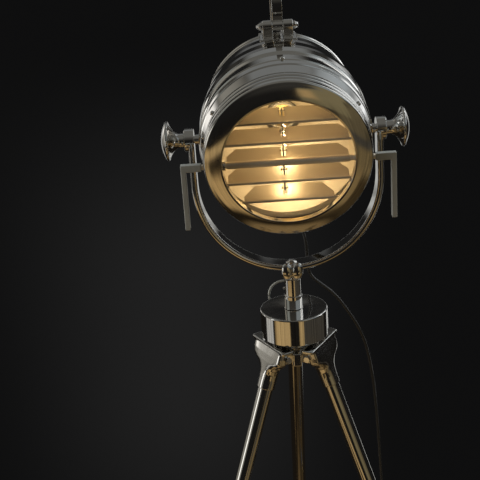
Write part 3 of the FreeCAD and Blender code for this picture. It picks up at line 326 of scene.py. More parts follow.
# ---- finishes
# a noise is (size, detail, roughness); shares say how much it changes the colour or the gloss
buffed = {"wave": (1.5, 0.45), "smudge": (22.0, 4.0, 0.62), "smudgeRange": (0.42, 0.75), "smudgeTint": 0.5,
          "lapping": (900.0, 2.0, 0.6), "lapTint": 0.12, "lapRough": 0.02}
dull = {"grain": (3.0, 0.6), "cloud": (40.0, 2.0, 0.5), "grainTint": 0.6, "cloudTint": 0.4, "grainRough": 0.12,
        "cloudRough": 0.1, "relief": 0.6}
glass = {"cloud": (34.0, 4.0, 0.65), "specks": (420.0, 2.0, 0.5), "speckRange": (0.62, 0.7), "gloss": 0.01,
         "cloudRough": 0.03, "bending": 1.5}
glowing = {"wire": (0.9, 0.6, 0.3), "dim": (1.0, 0.72, 0.36), "bright": (1.0, 0.86, 0.60), "strength": 14.0,
           "patches": (300.0, 1.0, 0.5), "gloss": 0.4}


def polishedMetal(name, tint, deep, gloss, smudge, waveSize, waveDepth, grain=(1, 1, 1), grainDepth=0.000002):
    # plated metal, buffed by hand: slow waves, faint lapping marks and finger smudges
    shade = Shade(name)
    slow = shade.noise(waveSize, *buffed["wave"])
    marks = shade.noise(*buffed["lapping"], grain)
    film = shade.noise(*buffed["smudge"]).clipped(*buffed["smudgeRange"])
    waves = shade.bump(slow, 1.0, waveDepth)
    shade.set(Base_Color=shade.mix(film * buffed["smudgeTint"] + marks * buffed["lapTint"], tint, deep), Metallic=1.0,
              Roughness=film * smudge + marks * buffed["lapRough"] + gloss,
              Normal=shade.bump(marks, 1.0, grainDepth, Normal=waves))
    return shade.material


def dullPiece(name, light, dark, gloss, speckle, depth, metallic=0.0, stretch=(1, 1, 1)):
    # rubber, plastic, ceramic or satin metal: colour and grain from the same two noises
    shade = Shade(name)
    grain = shade.noise(speckle, *dull["grain"], stretch)
    cloud = shade.noise(*dull["cloud"])
    shade.set(Base_Color=shade.mix(grain * dull["grainTint"] + cloud * dull["cloudTint"], dark, light),
              Roughness=grain * dull["grainRough"] + cloud * dull["cloudRough"] + gloss, Metallic=metallic,
              Normal=shade.bump(grain, dull["relief"], depth))
    return shade.material


def glassPiece(name, tint, alpha, dust):
    # clear glass: a thin film of dust carries what shows of its surface
    shade = Shade(name)
    cloud = shade.noise(*glass["cloud"])
    specks = shade.noise(*glass["specks"]).clipped(*glass["speckRange"])
    shade.set(Base_Color=tint, Roughness=cloud * glass["cloudRough"] + glass["gloss"], IOR=glass["bending"],
              Alpha=cloud * dust + specks * dust + alpha)
    shade.material.surface_render_method = "DITHERED"
    return shade.material


def glowingWire(name):
    shade = Shade(name)
    patches = shade.noise(*glowing["patches"])
    shade.set(Base_Color=glowing["wire"], Emission_Color=shade.mix(patches, glowing["dim"], glowing["bright"]),
              Emission_Strength=glowing["strength"], Roughness=glowing["gloss"])
    return shade.material


# tint, smudged tint, gloss, smudge, size and depth of the waves, then stretch and depth of the lapping marks
mirrorNickel = polishedMetal("mirrorNickel", (0.80, 0.785, 0.755), (0.72, 0.70, 0.66), 0.04, 0.07, 38.0, 0.00010)
turnedNickel = polishedMetal("turnedNickel", (0.80, 0.785, 0.755), (0.71, 0.69, 0.65), 0.05, 0.08, 60.0, 0.00006,
                             (1, 12, 1), 0.000003)
tubeNickel = polishedMetal("tubeNickel", (0.79, 0.775, 0.74), (0.70, 0.68, 0.63), 0.06, 0.08, 45.0, 0.00005,
                           (6, 6, 0.4), 0.000003)
castNickel = polishedMetal("castNickel", (0.79, 0.775, 0.745), (0.68, 0.66, 0.62), 0.08, 0.10, 55.0, 0.00009)
bezelNickel = polishedMetal("bezelNickel", (0.80, 0.78, 0.74), (0.72, 0.69, 0.63), 0.07, 0.08, 24.0, 0.00022)
# light and dark tint, gloss, size and depth of the grain, then how metallic it is and the grain's stretch
leverNickel = dullPiece("leverNickel", (0.50, 0.51, 0.48), (0.40, 0.41, 0.38), 0.26, 300.0, 0.000012,
                        0.62, (1, 1, 0.3))
bladeMetal = dullPiece("bladeMetal", (0.72, 0.64, 0.51), (0.58, 0.50, 0.38), 0.24, 70.0, 0.00002,
                       0.65, (0.4, 9, 5))
bowlMetal = dullPiece("bowlMetal", (0.84, 0.78, 0.68), (0.74, 0.67, 0.56), 0.34, 60.0, 0.00002, 0.75)
shaftNickel = dullPiece("shaftNickel", (0.86, 0.76, 0.60), (0.74, 0.65, 0.50), 0.22, 240.0, 0.00001,
                        0.4, (0.3, 4, 4))
zincSteel = dullPiece("zincSteel", (0.56, 0.56, 0.55), (0.36, 0.36, 0.36), 0.32, 260.0, 0.00002, 1.0)
brass = dullPiece("brass", (0.80, 0.60, 0.28), (0.60, 0.43, 0.18), 0.22, 320.0, 0.00001, 1.0)
blackRubber = dullPiece("blackRubber", (0.035, 0.035, 0.036), (0.015, 0.015, 0.016), 0.55, 700.0, 0.00006)
blackPlastic = dullPiece("blackPlastic", (0.030, 0.030, 0.032), (0.014, 0.014, 0.015), 0.28, 900.0, 0.00002)
cordSheath = dullPiece("cordSheath", (0.018, 0.0175, 0.017), (0.011, 0.011, 0.010), 0.11, 800.0, 0.00001)
whiteHolder = dullPiece("whiteHolder", (0.78, 0.76, 0.70), (0.62, 0.60, 0.55), 0.30, 300.0, 0.00002)
# tint, how solid it looks when clean, and how much the dust adds
lensGlass = glassPiece("lensGlass", (0.55, 0.56, 0.54), 0.035, 0.03)
bulbGlass = glassPiece("bulbGlass", (0.70, 0.62, 0.46), 0.06, 0.04)
filamentGlow = glowingWire("filamentGlow")
print("finishes ready")


# ---- base drum, sleeve and stem; each outline is (height, radius, fillet)
base = {"top": 380.0, "foot": 347.0, "radius": 40.0, "wall": 3.0, "rim": 1.8, "footEdge": 0.4, "bore": 9.55,
        "segments": 160}
sleeve = {"radius": 10.75, "top": 397.0, "edge": 0.8, "skirt": 0.5, "skirtAt": (0.6, 1.4), "neck": 0.3}
stem = {"radius": 9.5, "wall": 1.9, "top": 418.0, "foot": 330.0, "edge": 0.4}
inner = base["radius"] - base["wall"]
under = base["top"] - base["wall"]
drum = lathe("baseDrum", rounded([
    (base["top"], base["bore"]), (base["top"], base["radius"], base["rim"]),
    (base["foot"], base["radius"], base["footEdge"]), (base["foot"], inner), (under, inner),
    (under, base["bore"])], steps=8), place=basePlace, segments=base["segments"])
standMetal(drum, "stand", turnedNickel, "base_drum")
skirtLow, skirtHigh = (base["top"] + rise for rise in sleeve["skirtAt"])
collar = lathe("stemSleeve", rounded([
    (base["top"], base["bore"]), (skirtLow, sleeve["radius"] + sleeve["skirt"], sleeve["skirt"]),
    (skirtHigh, sleeve["radius"], sleeve["neck"]), (sleeve["top"], sleeve["radius"], sleeve["edge"]),
    (sleeve["top"], base["bore"])]), place=basePlace)
standMetal(collar, "stand", turnedNickel, "stem_sleeve")
inner = stem["radius"] - stem["wall"]
tube = lathe("stemTube", rounded([
    (stem["foot"], stem["radius"]), (stem["top"], stem["radius"], stem["edge"]), (stem["top"], inner),
    (stem["foot"], inner)]), place=basePlace)
standMetal(tube, "stand", tubeNickel, "stem_tube")
print("base ready")


# ---- yoke: one flat bar bent into a U, with round eyes
yoke = {"halfWidth": 105.3, "arm": 52.6, "width": 25.0, "thick": 7.0, "corner": 3.3, "cornerSteps": 6, "armSteps": 8,
        "bendSteps": 150, "eye": 12.5, "eyeIn": 101.8, "eyeOut": 113.0, "eyeEdges": (0.8, 1.6), "ease": 0.5,
        "easeFrom": 40}


def barSection():
    # the bar's cross-section, (across, along Y), with well rounded corners
    made = []
    across, along, corner = yoke["thick"] / 2, yoke["width"] / 2, yoke["corner"]
    for sideX, sideY, first in ((1, 1, 0), (-1, 1, 90), (-1, -1, 180), (1, -1, 270)):
        centre = (sideX * (across - corner), sideY * (along - corner))
        made += arcLine(centre, corner, first, first + 90, yoke["cornerSteps"])
    return made


def yokePiece():
    halfWidth, steps, bendSteps = yoke["halfWidth"], yoke["armSteps"], yoke["bendSteps"]
    arms = {side: [(Vector((side * halfWidth, 0, -yoke["arm"] * k / steps)), Vector((side, 0, 0)))
                   for k in range(steps)] for side in (1, -1)}
    bend = []
    for k in range(bendSteps + 1):
        turn = pi * k / bendSteps
        out = Vector((cos(turn), 0, -sin(turn)))
        bend.append((Vector((0, 0, -yoke["arm"])) + out * halfWidth, out))
    shape = bmesh.new()
    section = barSection()
    addLoft(shape, [[point + out * x + Vector((0, 1, 0)) * y for x, y in section]
                    for point, out in arms[1] + bend + arms[-1][::-1]])
    bar = fromBmesh("yokeBar", shape, Matrix.Translation(pivot))
    eyes = bmesh.new()
    small, large = yoke["eyeEdges"]
    for side in (1, -1):
        line = rounded([(yoke["eyeIn"], 0), (yoke["eyeIn"], yoke["eye"], small), (yoke["eyeOut"], yoke["eye"], large),
                        (yoke["eyeOut"], 0)], closed=False, steps=6)
        addLathe(eyes, line, turnTo((side, 0, 0)), 72)
    return shadeSmooth(combine(bar, fromBmesh("yokeEyes", eyes, Matrix.Translation(pivot)), "UNION"))


standMetal(softEdges(yokePiece(), yoke["ease"], angle=yoke["easeFrom"]), "yoke", mirrorNickel, "yoke_frame")
print("yoke ready")


# ---- head: bezel, louvre ring, ribbed drum, rear ring and cover, all turned about the head's axis
# each outline is (along the axis, radius, fillet), with the front at the low end
def headLathe(name, line, segments):
    return lathe(name, line, axis=(0, 1, 0), place=headPlace, segments=segments)


bezel = {"rim": [(-62.0, 90.4, 0.2), (-68.3, 90.4, 3.2), (-70.1, 86.6, 1.8)], "bulge": 0.46, "steps": 12,
         "lip": [(-75.2, 72.6, 0.7), (-75.0, 70.6, 0.8)],
         "back": [(-67.4, 70.6, 0.2), (-67.4, 72.1, 0.2), (-72.9, 72.1, 0.3), (-67.1, 86.4, 1.0), (-65.6, 88.9, 1.5),
                  (-62.0, 88.9, 0.2)]}


def bezelFace():
    # the ring's front between rim and lip, a cone that swells a little
    outer, inner = Vector(bezel["rim"][-1][:2]), Vector(bezel["lip"][0][:2])
    across = inner - outer
    out = Vector((across.y, -across.x)).normalized()
    shares = [k / bezel["steps"] for k in range(1, bezel["steps"])]
    return [tuple(outer + across * share + out * bezel["bulge"] * 4 * share * (1 - share)) for share in shares]


bezelLine = rounded(bezel["rim"] + bezelFace() + bezel["lip"] + bezel["back"], steps=8)
standMetal(headLathe("frontBezel", bezelLine, 256), "head", bezelNickel, "front_bezel")

ring = {"radius": 90.0, "seat": 88.15, "lip": 85.95, "front": -64.4, "bezelSeat": -62.0, "shellSeat": -46.2,
        "rear": -41.5, "valley": -54.0, "beads": ((-58.0, 4.0, 1.5), (-50.1, 3.9, 1.7)), "beadStep": 15}


def beadLine(middle, half, rise):
    turns = [radians(t) for t in range(ring["beadStep"], 180, ring["beadStep"])]
    return [(middle - half * cos(turn), ring["radius"] + rise * sin(turn)) for turn in turns]


frontBead, rearBead = (beadLine(*bead) for bead in ring["beads"])
ringLine = [
    (ring["front"], ring["lip"]), (ring["front"], ring["seat"]), (ring["bezelSeat"], ring["seat"]),
    (ring["bezelSeat"], ring["radius"]), *frontBead, (ring["valley"], ring["radius"]), *rearBead,
    (ring["shellSeat"], ring["radius"]), (ring["shellSeat"], ring["seat"]), (ring["rear"], ring["seat"]),
    (ring["rear"], ring["lip"])]
standMetal(headLathe("louvreRing", ringLine, 256), "head", mirrorNickel, "louvre_ring")

shell = {"wall": 2.4, "bands": [
    (-46.0, 91.2, 0.3), (-32.0, 93.6, 0.5), (-31.0, 93.0, 0.4), (-29.6, 93.0, 0.4), (-28.6, 94.2, 0.5),
    (-21.6, 95.0, 0.5), (-20.6, 96.0, 0.5), (-16.6, 96.0, 0.5), (-15.6, 94.4, 0.6), (-12.0, 93.0, 1.5),
    (2.0, 93.0, 1.5), (5.0, 94.2, 0.8), (6.0, 95.2, 0.6), (17.0, 95.6, 6.0), (28.0, 94.2, 0.7), (29.0, 92.6, 0.6),
    (44.0, 92.2, 6.0), (57.0, 90.2, 0.7), (58.0, 88.4, 0.6), (73.0, 87.6, 6.0), (87.0, 85.2, 0.4)]}
inside = [(along, radius - shell["wall"], fillet) for along, radius, fillet in reversed(shell["bands"])]
standMetal(headLathe("drumShell", rounded(shell["bands"] + inside), 256), "head", mirrorNickel, "drum_shell")
rearRing = [(87.05, 79.4), (87.05, 85.4, 0.8), (90.0, 86.6, 2.0), (93.0, 85.4, 0.8), (93.0, 79.4)]
standMetal(headLathe("rearRing", rounded(rearRing), 192), "head", mirrorNickel, "rear_ring")

cover = {"start": 93.05, "depth": 55.0, "radius": 83.4, "skirt": 2.0, "shoulder": 28.0, "shoulderTo": 42, "wall": 1.6,
         "shoulderSteps": 9, "capSteps": 26}


def addCap(line, end, steps):
    # close a line with a spherical cap that ends on the axis
    rise, radius = end - line[-1][0], line[-1][1]
    sphere = (radius ** 2 + rise ** 2) / (2 * rise)
    half = degrees(asin(radius / sphere))
    return line + arcLine((end - sphere, 0), sphere, half, 0, steps)[1:-1] + [(end, 0)]


def coverSide(inset):
    # skirt, shoulder and cap of the rear cover, set inward by its wall
    centre = (cover["start"] + cover["skirt"], cover["radius"] - cover["shoulder"])
    line = [(cover["start"], cover["radius"] - inset)]
    line += arcLine(centre, cover["shoulder"] - inset, 90, cover["shoulderTo"], cover["shoulderSteps"])
    return addCap(line, cover["start"] + cover["depth"] - inset, cover["capSteps"])


coverLine = coverSide(0) + coverSide(cover["wall"])[::-1]
standMetal(headLathe("rearCover", coverLine, 192), "head", mirrorNickel, "rear_cover")
print("head shells ready")


# ---- the two trumpet-shaped clamp knobs
knob = {"foot": 113.1, "edge": 0.6, "neck": 7.85, "waist": 7.65, "waistAt": 117.6, "rim": 21.2, "rimPlace": 130.0,
        "rimWidth": 3.4, "end": 138.8, "bore": 4.05, "boreEnd": 128.0, "flareSteps": 14, "flareAlong": 1.25,
        "flareOut": 1.75, "capSteps": 18}


def knobLine():
    line = [(knob["foot"], knob["bore"]), (knob["foot"], knob["neck"] - knob["edge"]),
            (knob["foot"] + knob["edge"], knob["neck"]), (knob["waistAt"], knob["waist"])]
    reach = knob["rimPlace"] - knob["waistAt"]
    for k in range(1, knob["flareSteps"] + 1):
        share = k / knob["flareSteps"]
        line.append((knob["waistAt"] + reach * (1 - (1 - share) ** knob["flareAlong"]),
                     knob["waist"] + (knob["rim"] - knob["neck"]) * share ** knob["flareOut"]))
    half = knob["rimWidth"] / 2
    line += arcLine((knob["rimPlace"] + half, knob["rim"] - knob["edge"]), half, 150, 30, 8)
    return addCap(line, knob["end"], knob["capSteps"]) + [(knob["boreEnd"], 0), (knob["boreEnd"], knob["bore"])]


for side, name, body in ((1, "right", "right_knob"), (-1, "left", "left_knob")):
    piece = lathe(name + "ClampKnob", knobLine(), axis=(side, 0, 0), place=Matrix.Translation(pivot), segments=128)
    standMetal(piece, body, mirrorNickel, name + "_clamp_knob")


# ---- drive shaft with its collar, and the two square hand levers
shutter = {"at": (0, -57.6, -6.4), "shaft": 3.0, "shaftEnd": 108.2, "collar": 5.4, "collarFrom": -72.5,
           "collarTo": -67.5, "outer": 116.0, "square": 5.6, "height": 8.0, "length": 73.5, "armStart": 93.6,
           "leverEase": 0.8, "shaftEdge": 0.4, "collarEdge": 0.5, "fit": 0.05}
shaftPlace = headPlace @ Matrix.Translation(Vector(shutter["at"]) * mm)


def leverPiece(side):
    top = shutter["height"] / 2
    inner = shutter["outer"] - shutter["square"]
    outline = [(shutter["armStart"], top), (shutter["outer"], top), (shutter["outer"], top - shutter["length"]),
               (inner, top - shutter["length"]), (inner, -top), (shutter["armStart"], -top)]
    shape = bmesh.new()
    addPrism(shape, [(side * x, -top, z) for x, z in outline], Vector((0, 2 * top, 0)))
    upright = Matrix.Rotation(radians(-headTurn), 4, "X")       # the levers hang plumb
    return fromBmesh(("right" if side > 0 else "left") + "LouvreLever", shape, shaftPlace @ upright)


for side, name in ((1, "right"), (-1, "left")):
    lever = softEdges(leverPiece(side), shutter["leverEase"], segments=4)
    standMetal(lever, "louvre_drive", leverNickel, name + "_louvre_lever")
end, radius, edge = shutter["shaftEnd"], shutter["shaft"], shutter["shaftEdge"]
shaft = lathe("louvreDriveShaft", rounded([(-end, 0), (-end, radius, edge), (end, radius, edge), (end, 0)],
                                          closed=False), axis=(1, 0, 0), place=shaftPlace, segments=48, closed=False)
standMetal(shaft, "louvre_drive", shaftNickel, "louvre_drive_shaft")
start, end, bore = shutter["collarFrom"], shutter["collarTo"], radius + shutter["fit"]
radius, edge = shutter["collar"], shutter["collarEdge"]
collar = lathe("shaftCollar", rounded([(start, bore), (start, radius, edge), (end, radius, edge), (end, bore)]),
               axis=(1, 0, 0), place=shaftPlace, segments=64)
standMetal(collar, "louvre_drive", mirrorNickel, "shaft_collar")
print("knobs and levers ready")


# ---- legs: bright tubes in flared castings that straddle the crown
leg = {"slope": 0.36, "hinge": 30.0, "height": 330.0, "radius": 9.0, "wall": 1.5, "start": 16.0, "end": 342.7,
       "edge": 0.3, "bearings": {"left": 210.0, "right": 330.0, "rear": 90.0}}
bracket = {"plateIn": -3.6, "plateOut": 10.0, "plateLow": 9.0, "plateTop": 13.0, "plateHalf": 35.0, "chamfer": 2.0,
           "forkHalf": 25.0, "forkNose": 8.8, "forkFloor": -12.4, "forkRoof": 9.9, "forkFront": 8.0,
           "forkBack": -40.0, "bore": 9.03, "boreEnd": 60.0, "voxel": 0.55, "rounds": 7,
           # down the leg: distance, half width along the bolt, half depth, its middle, and squareness
           "flare": ((-9.4, 28.6, 6.2, 6.6, 7), (-5, 28.6, 6.6, 6.4, 7), (2, 28.5, 7.0, 6.0, 6),
                     (8, 28.0, 7.4, 5.2, 5), (11.5, 25.0, 8.2, 4.2, 4.2), (14.5, 19.6, 9.0, 3.1, 3.4),
                     (18, 15.4, 9.8, 2.0, 2.8), (22, 12.9, 10.4, 1.1, 2.4), (27, 11.5, 10.7, 0.5, 2.1),
                     (34, 10.9, 10.8, 0.1, 2.0), (46, 10.7, 10.7, 0.0, 2.0))}


def hingePlace(bearing):
    return basePlace @ Matrix.Rotation(radians(bearing), 4, "Z") @ Matrix.Translation(
        Vector((leg["hinge"], 0, leg["height"])) * mm)


def legPlace(bearing):
    # local X along the hinge bolt, Y outward and Z down the tube
    splay = atan(leg["slope"])
    frameOf = Matrix(((0, cos(splay), sin(splay)), (1, 0, 0), (0, sin(splay), -cos(splay))))
    return hingePlace(bearing) @ frameOf.to_4x4()


def roundedSquare(z, wide, deep, middle, power, count=72):
    made = []
    for k in range(count):
        turn = 2 * pi * k / count
        c, t = cos(turn), sin(turn)
        made.append(Vector((wide * copysign(abs(c) ** (2 / power), c),
                            middle + deep * copysign(abs(t) ** (2 / power), t), z)))
    return made


def bracketPiece(name, bearing):
    shape = bmesh.new()
    addLoft(shape, [roundedSquare(*step) for step in bracket["flare"]])
    body = fromBmesh(name, shape, legPlace(bearing))
    near, far, low = bracket["plateIn"], bracket["plateOut"], bracket["plateLow"]
    half, chamfer = bracket["plateHalf"], bracket["chamfer"]
    plate = bmesh.new()
    addPrism(plate, [(near, -half, low), (far - chamfer, -half, low), (far, -half + chamfer, low),
                     (far, half - chamfer, low), (far - chamfer, half, low), (near, half, low)],
             Vector((0, 0, bracket["plateTop"] - low)))
    combine(body, fromBmesh("plate", plate, hingePlace(bearing)), "UNION")
    back, floorAt, roof, half = bracket["forkBack"], bracket["forkFloor"], bracket["forkRoof"], bracket["forkHalf"]
    line = [(back, floorAt), (0, floorAt)] + arcLine((0, 0), bracket["forkNose"], -90, 25, 23)
    line += [(bracket["forkFront"], roof), (back, roof)]
    fork = bmesh.new()
    addPrism(fork, [(x, -half, z) for x, z in line], Vector((0, 2 * half, 0)))
    combine(body, fromBmesh("fork", fork, hingePlace(bearing)), "DIFFERENCE")
    cast(body, bracket["voxel"], bracket["rounds"])
    bore = bmesh.new()
    addLathe(bore, [(leg["start"], 0), (leg["start"], bracket["bore"]), (bracket["boreEnd"], bracket["bore"]),
                    (bracket["boreEnd"], 0)], Matrix.Identity(4), 64)
    return combine(body, fromBmesh("bore", bore, legPlace(bearing)), "DIFFERENCE")


radius, edge, inner = leg["radius"], leg["edge"], leg["radius"] - leg["wall"]
for side, bearing in leg["bearings"].items():
    standMetal(bracketPiece(side + "LegBracket", bearing), side + "_leg", castNickel, side + "_leg_bracket")
    tube = lathe(side + "LegTube", rounded([
        (leg["start"], radius, edge), (leg["end"], radius, edge), (leg["end"], inner), (leg["start"], inner)]),
        place=legPlace(bearing))
    standMetal(tube, side + "_leg", tubeNickel, side + "_leg_tube")
print("legs ready")


# ---- hub: a tulip-shaped casting whose four leaves lap over the strap's edges, with a spigot below
hub = {"spigot": 7.54, "spigotFoot": 374.0, "spigotTop": 419.3, "foot": 418.3, "lean": 5.0, "voxel": 0.4, "rounds": 3,
       # each leaf is an egg shape: its middle, then its half sizes
       "leaves": (((6.0, -11.6, 429.8), (6.6, 4.4, 11.2)), ((6.0, 11.6, 428.6), (6.3, 4.2, 8.6))),
       "rings": ((418.3, 9.7), (419.2, 10.3), (422.0, 10.4), (425.0, 10.9), (428.0, 11.7), (430.2, 12.3),
                 (431.2, 12.2))}


def hubPiece():
    shape = bmesh.new()
    line = [(hub["foot"], 0)] + list(hub["rings"]) + [(hub["rings"][-1][0], 0)]
    addLathe(shape, line, Matrix.Identity(4), 72)
    for side in (1, -1):
        lean = Matrix.Rotation(radians(hub["lean"] * side), 4, "Y")
        for (x, y, z), sizes in hub["leaves"]:
            place = Matrix.Translation((side * x, y, z)) @ lean @ Matrix.Diagonal((*sizes, 1))
            bmesh.ops.create_uvsphere(shape, u_segments=48, v_segments=32, radius=1, matrix=place)
    piece = cast(fromBmesh("yokeHub", shape, basePlace), hub["voxel"], hub["rounds"])
    spigot = bmesh.new()
    addLathe(spigot, [(hub["spigotFoot"], 0), (hub["spigotFoot"], hub["spigot"]), (hub["spigotTop"], hub["spigot"]),
                      (hub["spigotTop"], 0)], Matrix.Identity(4), 64)
    return combine(piece, fromBmesh("spigot", spigot, basePlace), "UNION")


standMetal(hubPiece(), "yoke", castNickel, "yoke_hub")
print("hub ready")


# ---- pan lock lever: a thin rod that leaves the stem level and bends down beside it
panLever = {"radius": 1.45, "height": 414.6, "start": -7.6, "cap": 0.1, "bendFrom": -11.0, "bend": 17.6,
            "bendStep": 6, "bendEnd": 97, "tip": ((-28.5, 0, 392.6), (-28.45, 0, 391.6))}


def rodPiece(name, points, radius, place, segments=24, taper=0.55):
    # a round rod along points, drawn in a little at both ends
    points = [Vector(point) for point in points]
    last = len(points) - 1
    sections = []
    for index, point in enumerate(points):
        way = (points[min(index + 1, last)] - points[max(index - 1, 0)]).normalized()
        reach = radius * (taper if index in (0, last) else 1)
        circle = arcLine((0, 0), reach, 0, 360, segments)[:-1]
        sections.append([point + turnTo(way) @ Vector((*spot, 0)) for spot in circle])
    shape = bmesh.new()
    addLoft(shape, sections)
    return fromBmesh(name, shape, place)


height, bendFrom = panLever["height"], panLever["bendFrom"]
sweep = [(along, 0, height) for along in (panLever["start"], panLever["start"] - panLever["cap"], bendFrom)]
for angle in range(panLever["bendStep"], panLever["bendEnd"], panLever["bendStep"]):
    turn = radians(angle)
    sweep.append((bendFrom - panLever["bend"] * sin(turn), 0,
                  height - panLever["bend"] + panLever["bend"] * cos(turn)))
sweep += panLever["tip"]
stand(rodPiece("panLockLever", sweep, panLever["radius"], basePlace), "pan_lock", leverNickel, "polished_nickel",
      "pan_lock_lever")
print("pan lever ready")


# ---- castings and small parts that keep the solid's own shape, with their edges eased
castings = {          # node: piece, body, voxel size, rounds of smoothing
    "crown_block": ("crownBlock", "stand", 0.75, 2), "handle_clevises": ("handleClevises", "head", 0.4, 4)}
eased = {             # node: piece, body, width of the eased edges
    "carry_handle": ("carryHandle", "head", 0.5), "handle_pins": ("handlePins", "head", 0.3),
    "leg_hinge_bolts": ("legHingeBolts", "stand", 0.35), "stem_pin": ("stemPin", "stand", 0.3),
    "trunnion_studs": ("trunnionStuds", "head", 0.3), "yoke_hub_bolt": ("yokeHubBolt", "yoke", 0.2)}
for node, (name, body, voxel, rounds) in castings.items():
    standMetal(cast(copyNode(name, node), voxel, rounds), body, castNickel, node)
for node, (name, body, width) in eased.items():
    standMetal(softEdges(copyNode(name, node), width, angle=28), body, mirrorNickel, node)


# ---- screws that hold the drum on its ring, made on points round the head
screw = {"radius": 2.6, "cap": 1.7, "capFrom": 12, "capStep": 13, "neck": 1.7, "shank": 1.5, "sink": 7.0,
         "seat": 91.0, "along": -43.8, "middle": asin(-6.4 / 90.4), "step": radians(18.4),
         "crestAt": (0, -18.6, 94.7)}


def screwShape():
    sink, neck, cap = screw["sink"], screw["neck"], screw["cap"]
    line = [(-sink, 0), (-sink, screw["shank"]), (0, screw["shank"]), (0, screw["radius"]), (neck, screw["radius"])]
    for angle in range(screw["capFrom"], 90, screw["capStep"]):
        turn = radians(angle)
        line.append((neck + cap * sin(turn), screw["radius"] * cos(turn)))
    return lathe("screwShape", line + [(neck + cap, 0)], segments=32, closed=False)


def screwTree():
    # one screw on every point, its head along the point's own direction
    tree = bpy.data.node_groups.new("screwRing", "GeometryNodeTree")
    for name, way, kind in (("Points", "INPUT", "Geometry"), ("Screw", "INPUT", "Object"), ("Size", "INPUT", "Float"),
                            ("Finish", "INPUT", "Material"), ("Screws", "OUTPUT", "Geometry")):
        tree.interface.new_socket(name=name, in_out=way, socket_type="NodeSocket" + kind)
    given, info, way, aim, place, real, finish, made = (tree.nodes.new(kind) for kind in (
        "NodeGroupInput", "GeometryNodeObjectInfo", "GeometryNodeInputNamedAttribute",
        "FunctionNodeAlignRotationToVector", "GeometryNodeInstanceOnPoints", "GeometryNodeRealizeInstances",
        "GeometryNodeSetMaterial", "NodeGroupOutput"))
    way.data_type = "FLOAT_VECTOR"
    way.inputs["Name"].default_value = "way"
    aim.axis = "Z"
    for start, output, end, socket in (
            (given, "Points", place, "Points"), (given, "Screw", info, "Object"),
            (info, "Geometry", place, "Instance"), (way, "Attribute", aim, "Vector"),
            (aim, "Rotation", place, "Rotation"), (given, "Size", place, "Scale"),
            (place, "Instances", real, "Geometry"), (real, "Geometry", finish, "Geometry"),
            (given, "Finish", finish, "Material"), (finish, "Geometry", made, "Screws")):
        tree.links.new(start.outputs[output], end.inputs[socket])
    return tree


def screwRing():
    spots = []
    for side in (1, -1):
        for k in (-2, -1, 1, 2):
            turn = screw["middle"] + k * screw["step"]
            out = Vector((side * cos(turn), 0, sin(turn)))
            spots.append((out * screw["seat"] + Vector((0, screw["along"], 0)), out))
    spots.append((Vector(screw["crestAt"]), Vector((0, 0, 1))))
    mesh = bpy.data.meshes.new("shellScrews")
    mesh.from_pydata([headPlace @ (spot * mm) for spot, out in spots], [], [])
    ways = mesh.attributes.new("way", "FLOAT_VECTOR", "POINT")
    for item, (spot, out) in zip(ways.data, spots):
        item.vector = headPlace.to_3x3() @ out
    piece = keepObject("shellScrews", mesh)
    tree = screwTree()
    maker = piece.modifiers.new("screws", "NODES")
    maker.node_group = tree
    sockets = {item.name: item.identifier for item in tree.interface.items_tree if item.in_out == "INPUT"}
    shape = screwShape()
    maker[sockets["Screw"]], maker[sockets["Size"]], maker[sockets["Finish"]] = shape, 1.0, mirrorNickel
    plain(piece)
    bpy.data.objects.remove(shape)
    return piece


stand(screwRing(), "head", mirrorNickel, "polished_nickel", "shell_screws")


# ---- filament: a glowing wire inside the bulb, wound in a long flat coil
filament = {"foot": -17.0, "height": 34.0, "place": -6.0, "across": 2.4, "deep": 1.2, "turning": 18.0, "steps": 60,
            "wire": 0.35}
wire = []
for k in range(filament["steps"] + 1):
    share = k / filament["steps"]
    turn = share * filament["turning"]
    wire.append((filament["across"] * sin(turn), filament["place"] + filament["deep"] * cos(turn),
                 filament["foot"] + filament["height"] * share))
stand(rodPiece("filament", wire, filament["wire"], headPlace, 8), "head", filamentGlow, "bulb_glass")
print("small pieces ready")


# ---- cord: three stretches from the lamp to the switch and a wound coil to the plug, each one smooth spline
cord = {"radius": 2.0, "floor": 2.05, "gap": 0.05, "gland": (15.0, 74.55, 520.80), "joint": (15.6, 88.6, 477.41),
        "jointWay": (0.0, 0.6110, -0.7917), "headStraight": 12.0, "yokeStraight": 14.0}
coil = {"outer": 25.3, "inner": 15.9, "centre": (112.0, 40.0), "turns": 6.764, "layers": 3, "first": 215.0,
        "low": 2.85, "layerRise": 4.06, "climbOver": 0.14, "perTurn": 14}


def cordLine(name, points, body, slots):
    # one open spline through the route's points, in millimetres from the lamp's own axis
    line = bpy.data.curves.new(name, "CURVE")
    line.dimensions, line.resolution_u = "3D", 12
    line.bevel_depth, line.bevel_resolution, line.use_fill_caps = cord["radius"] * mm, 5, True
    spline = line.splines.new("NURBS")
    spline.points.add(len(points) - 1)
    for place, point in zip(spline.points, points):
        place.co = (*(basePlace @ (Vector(point) * mm)), 1)
    spline.order_u, spline.use_endpoint_u = 3, True
    piece = bpy.data.objects.new(name, line)
    bpy.context.scene.collection.objects.link(piece)
    line.materials.append(cordSheath)
    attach(piece, body)
    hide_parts(*slots)
    return piece


def smooth(share):
    share = min(max(share, 0.0), 1.0)
    return share * share * (3 - 2 * share)


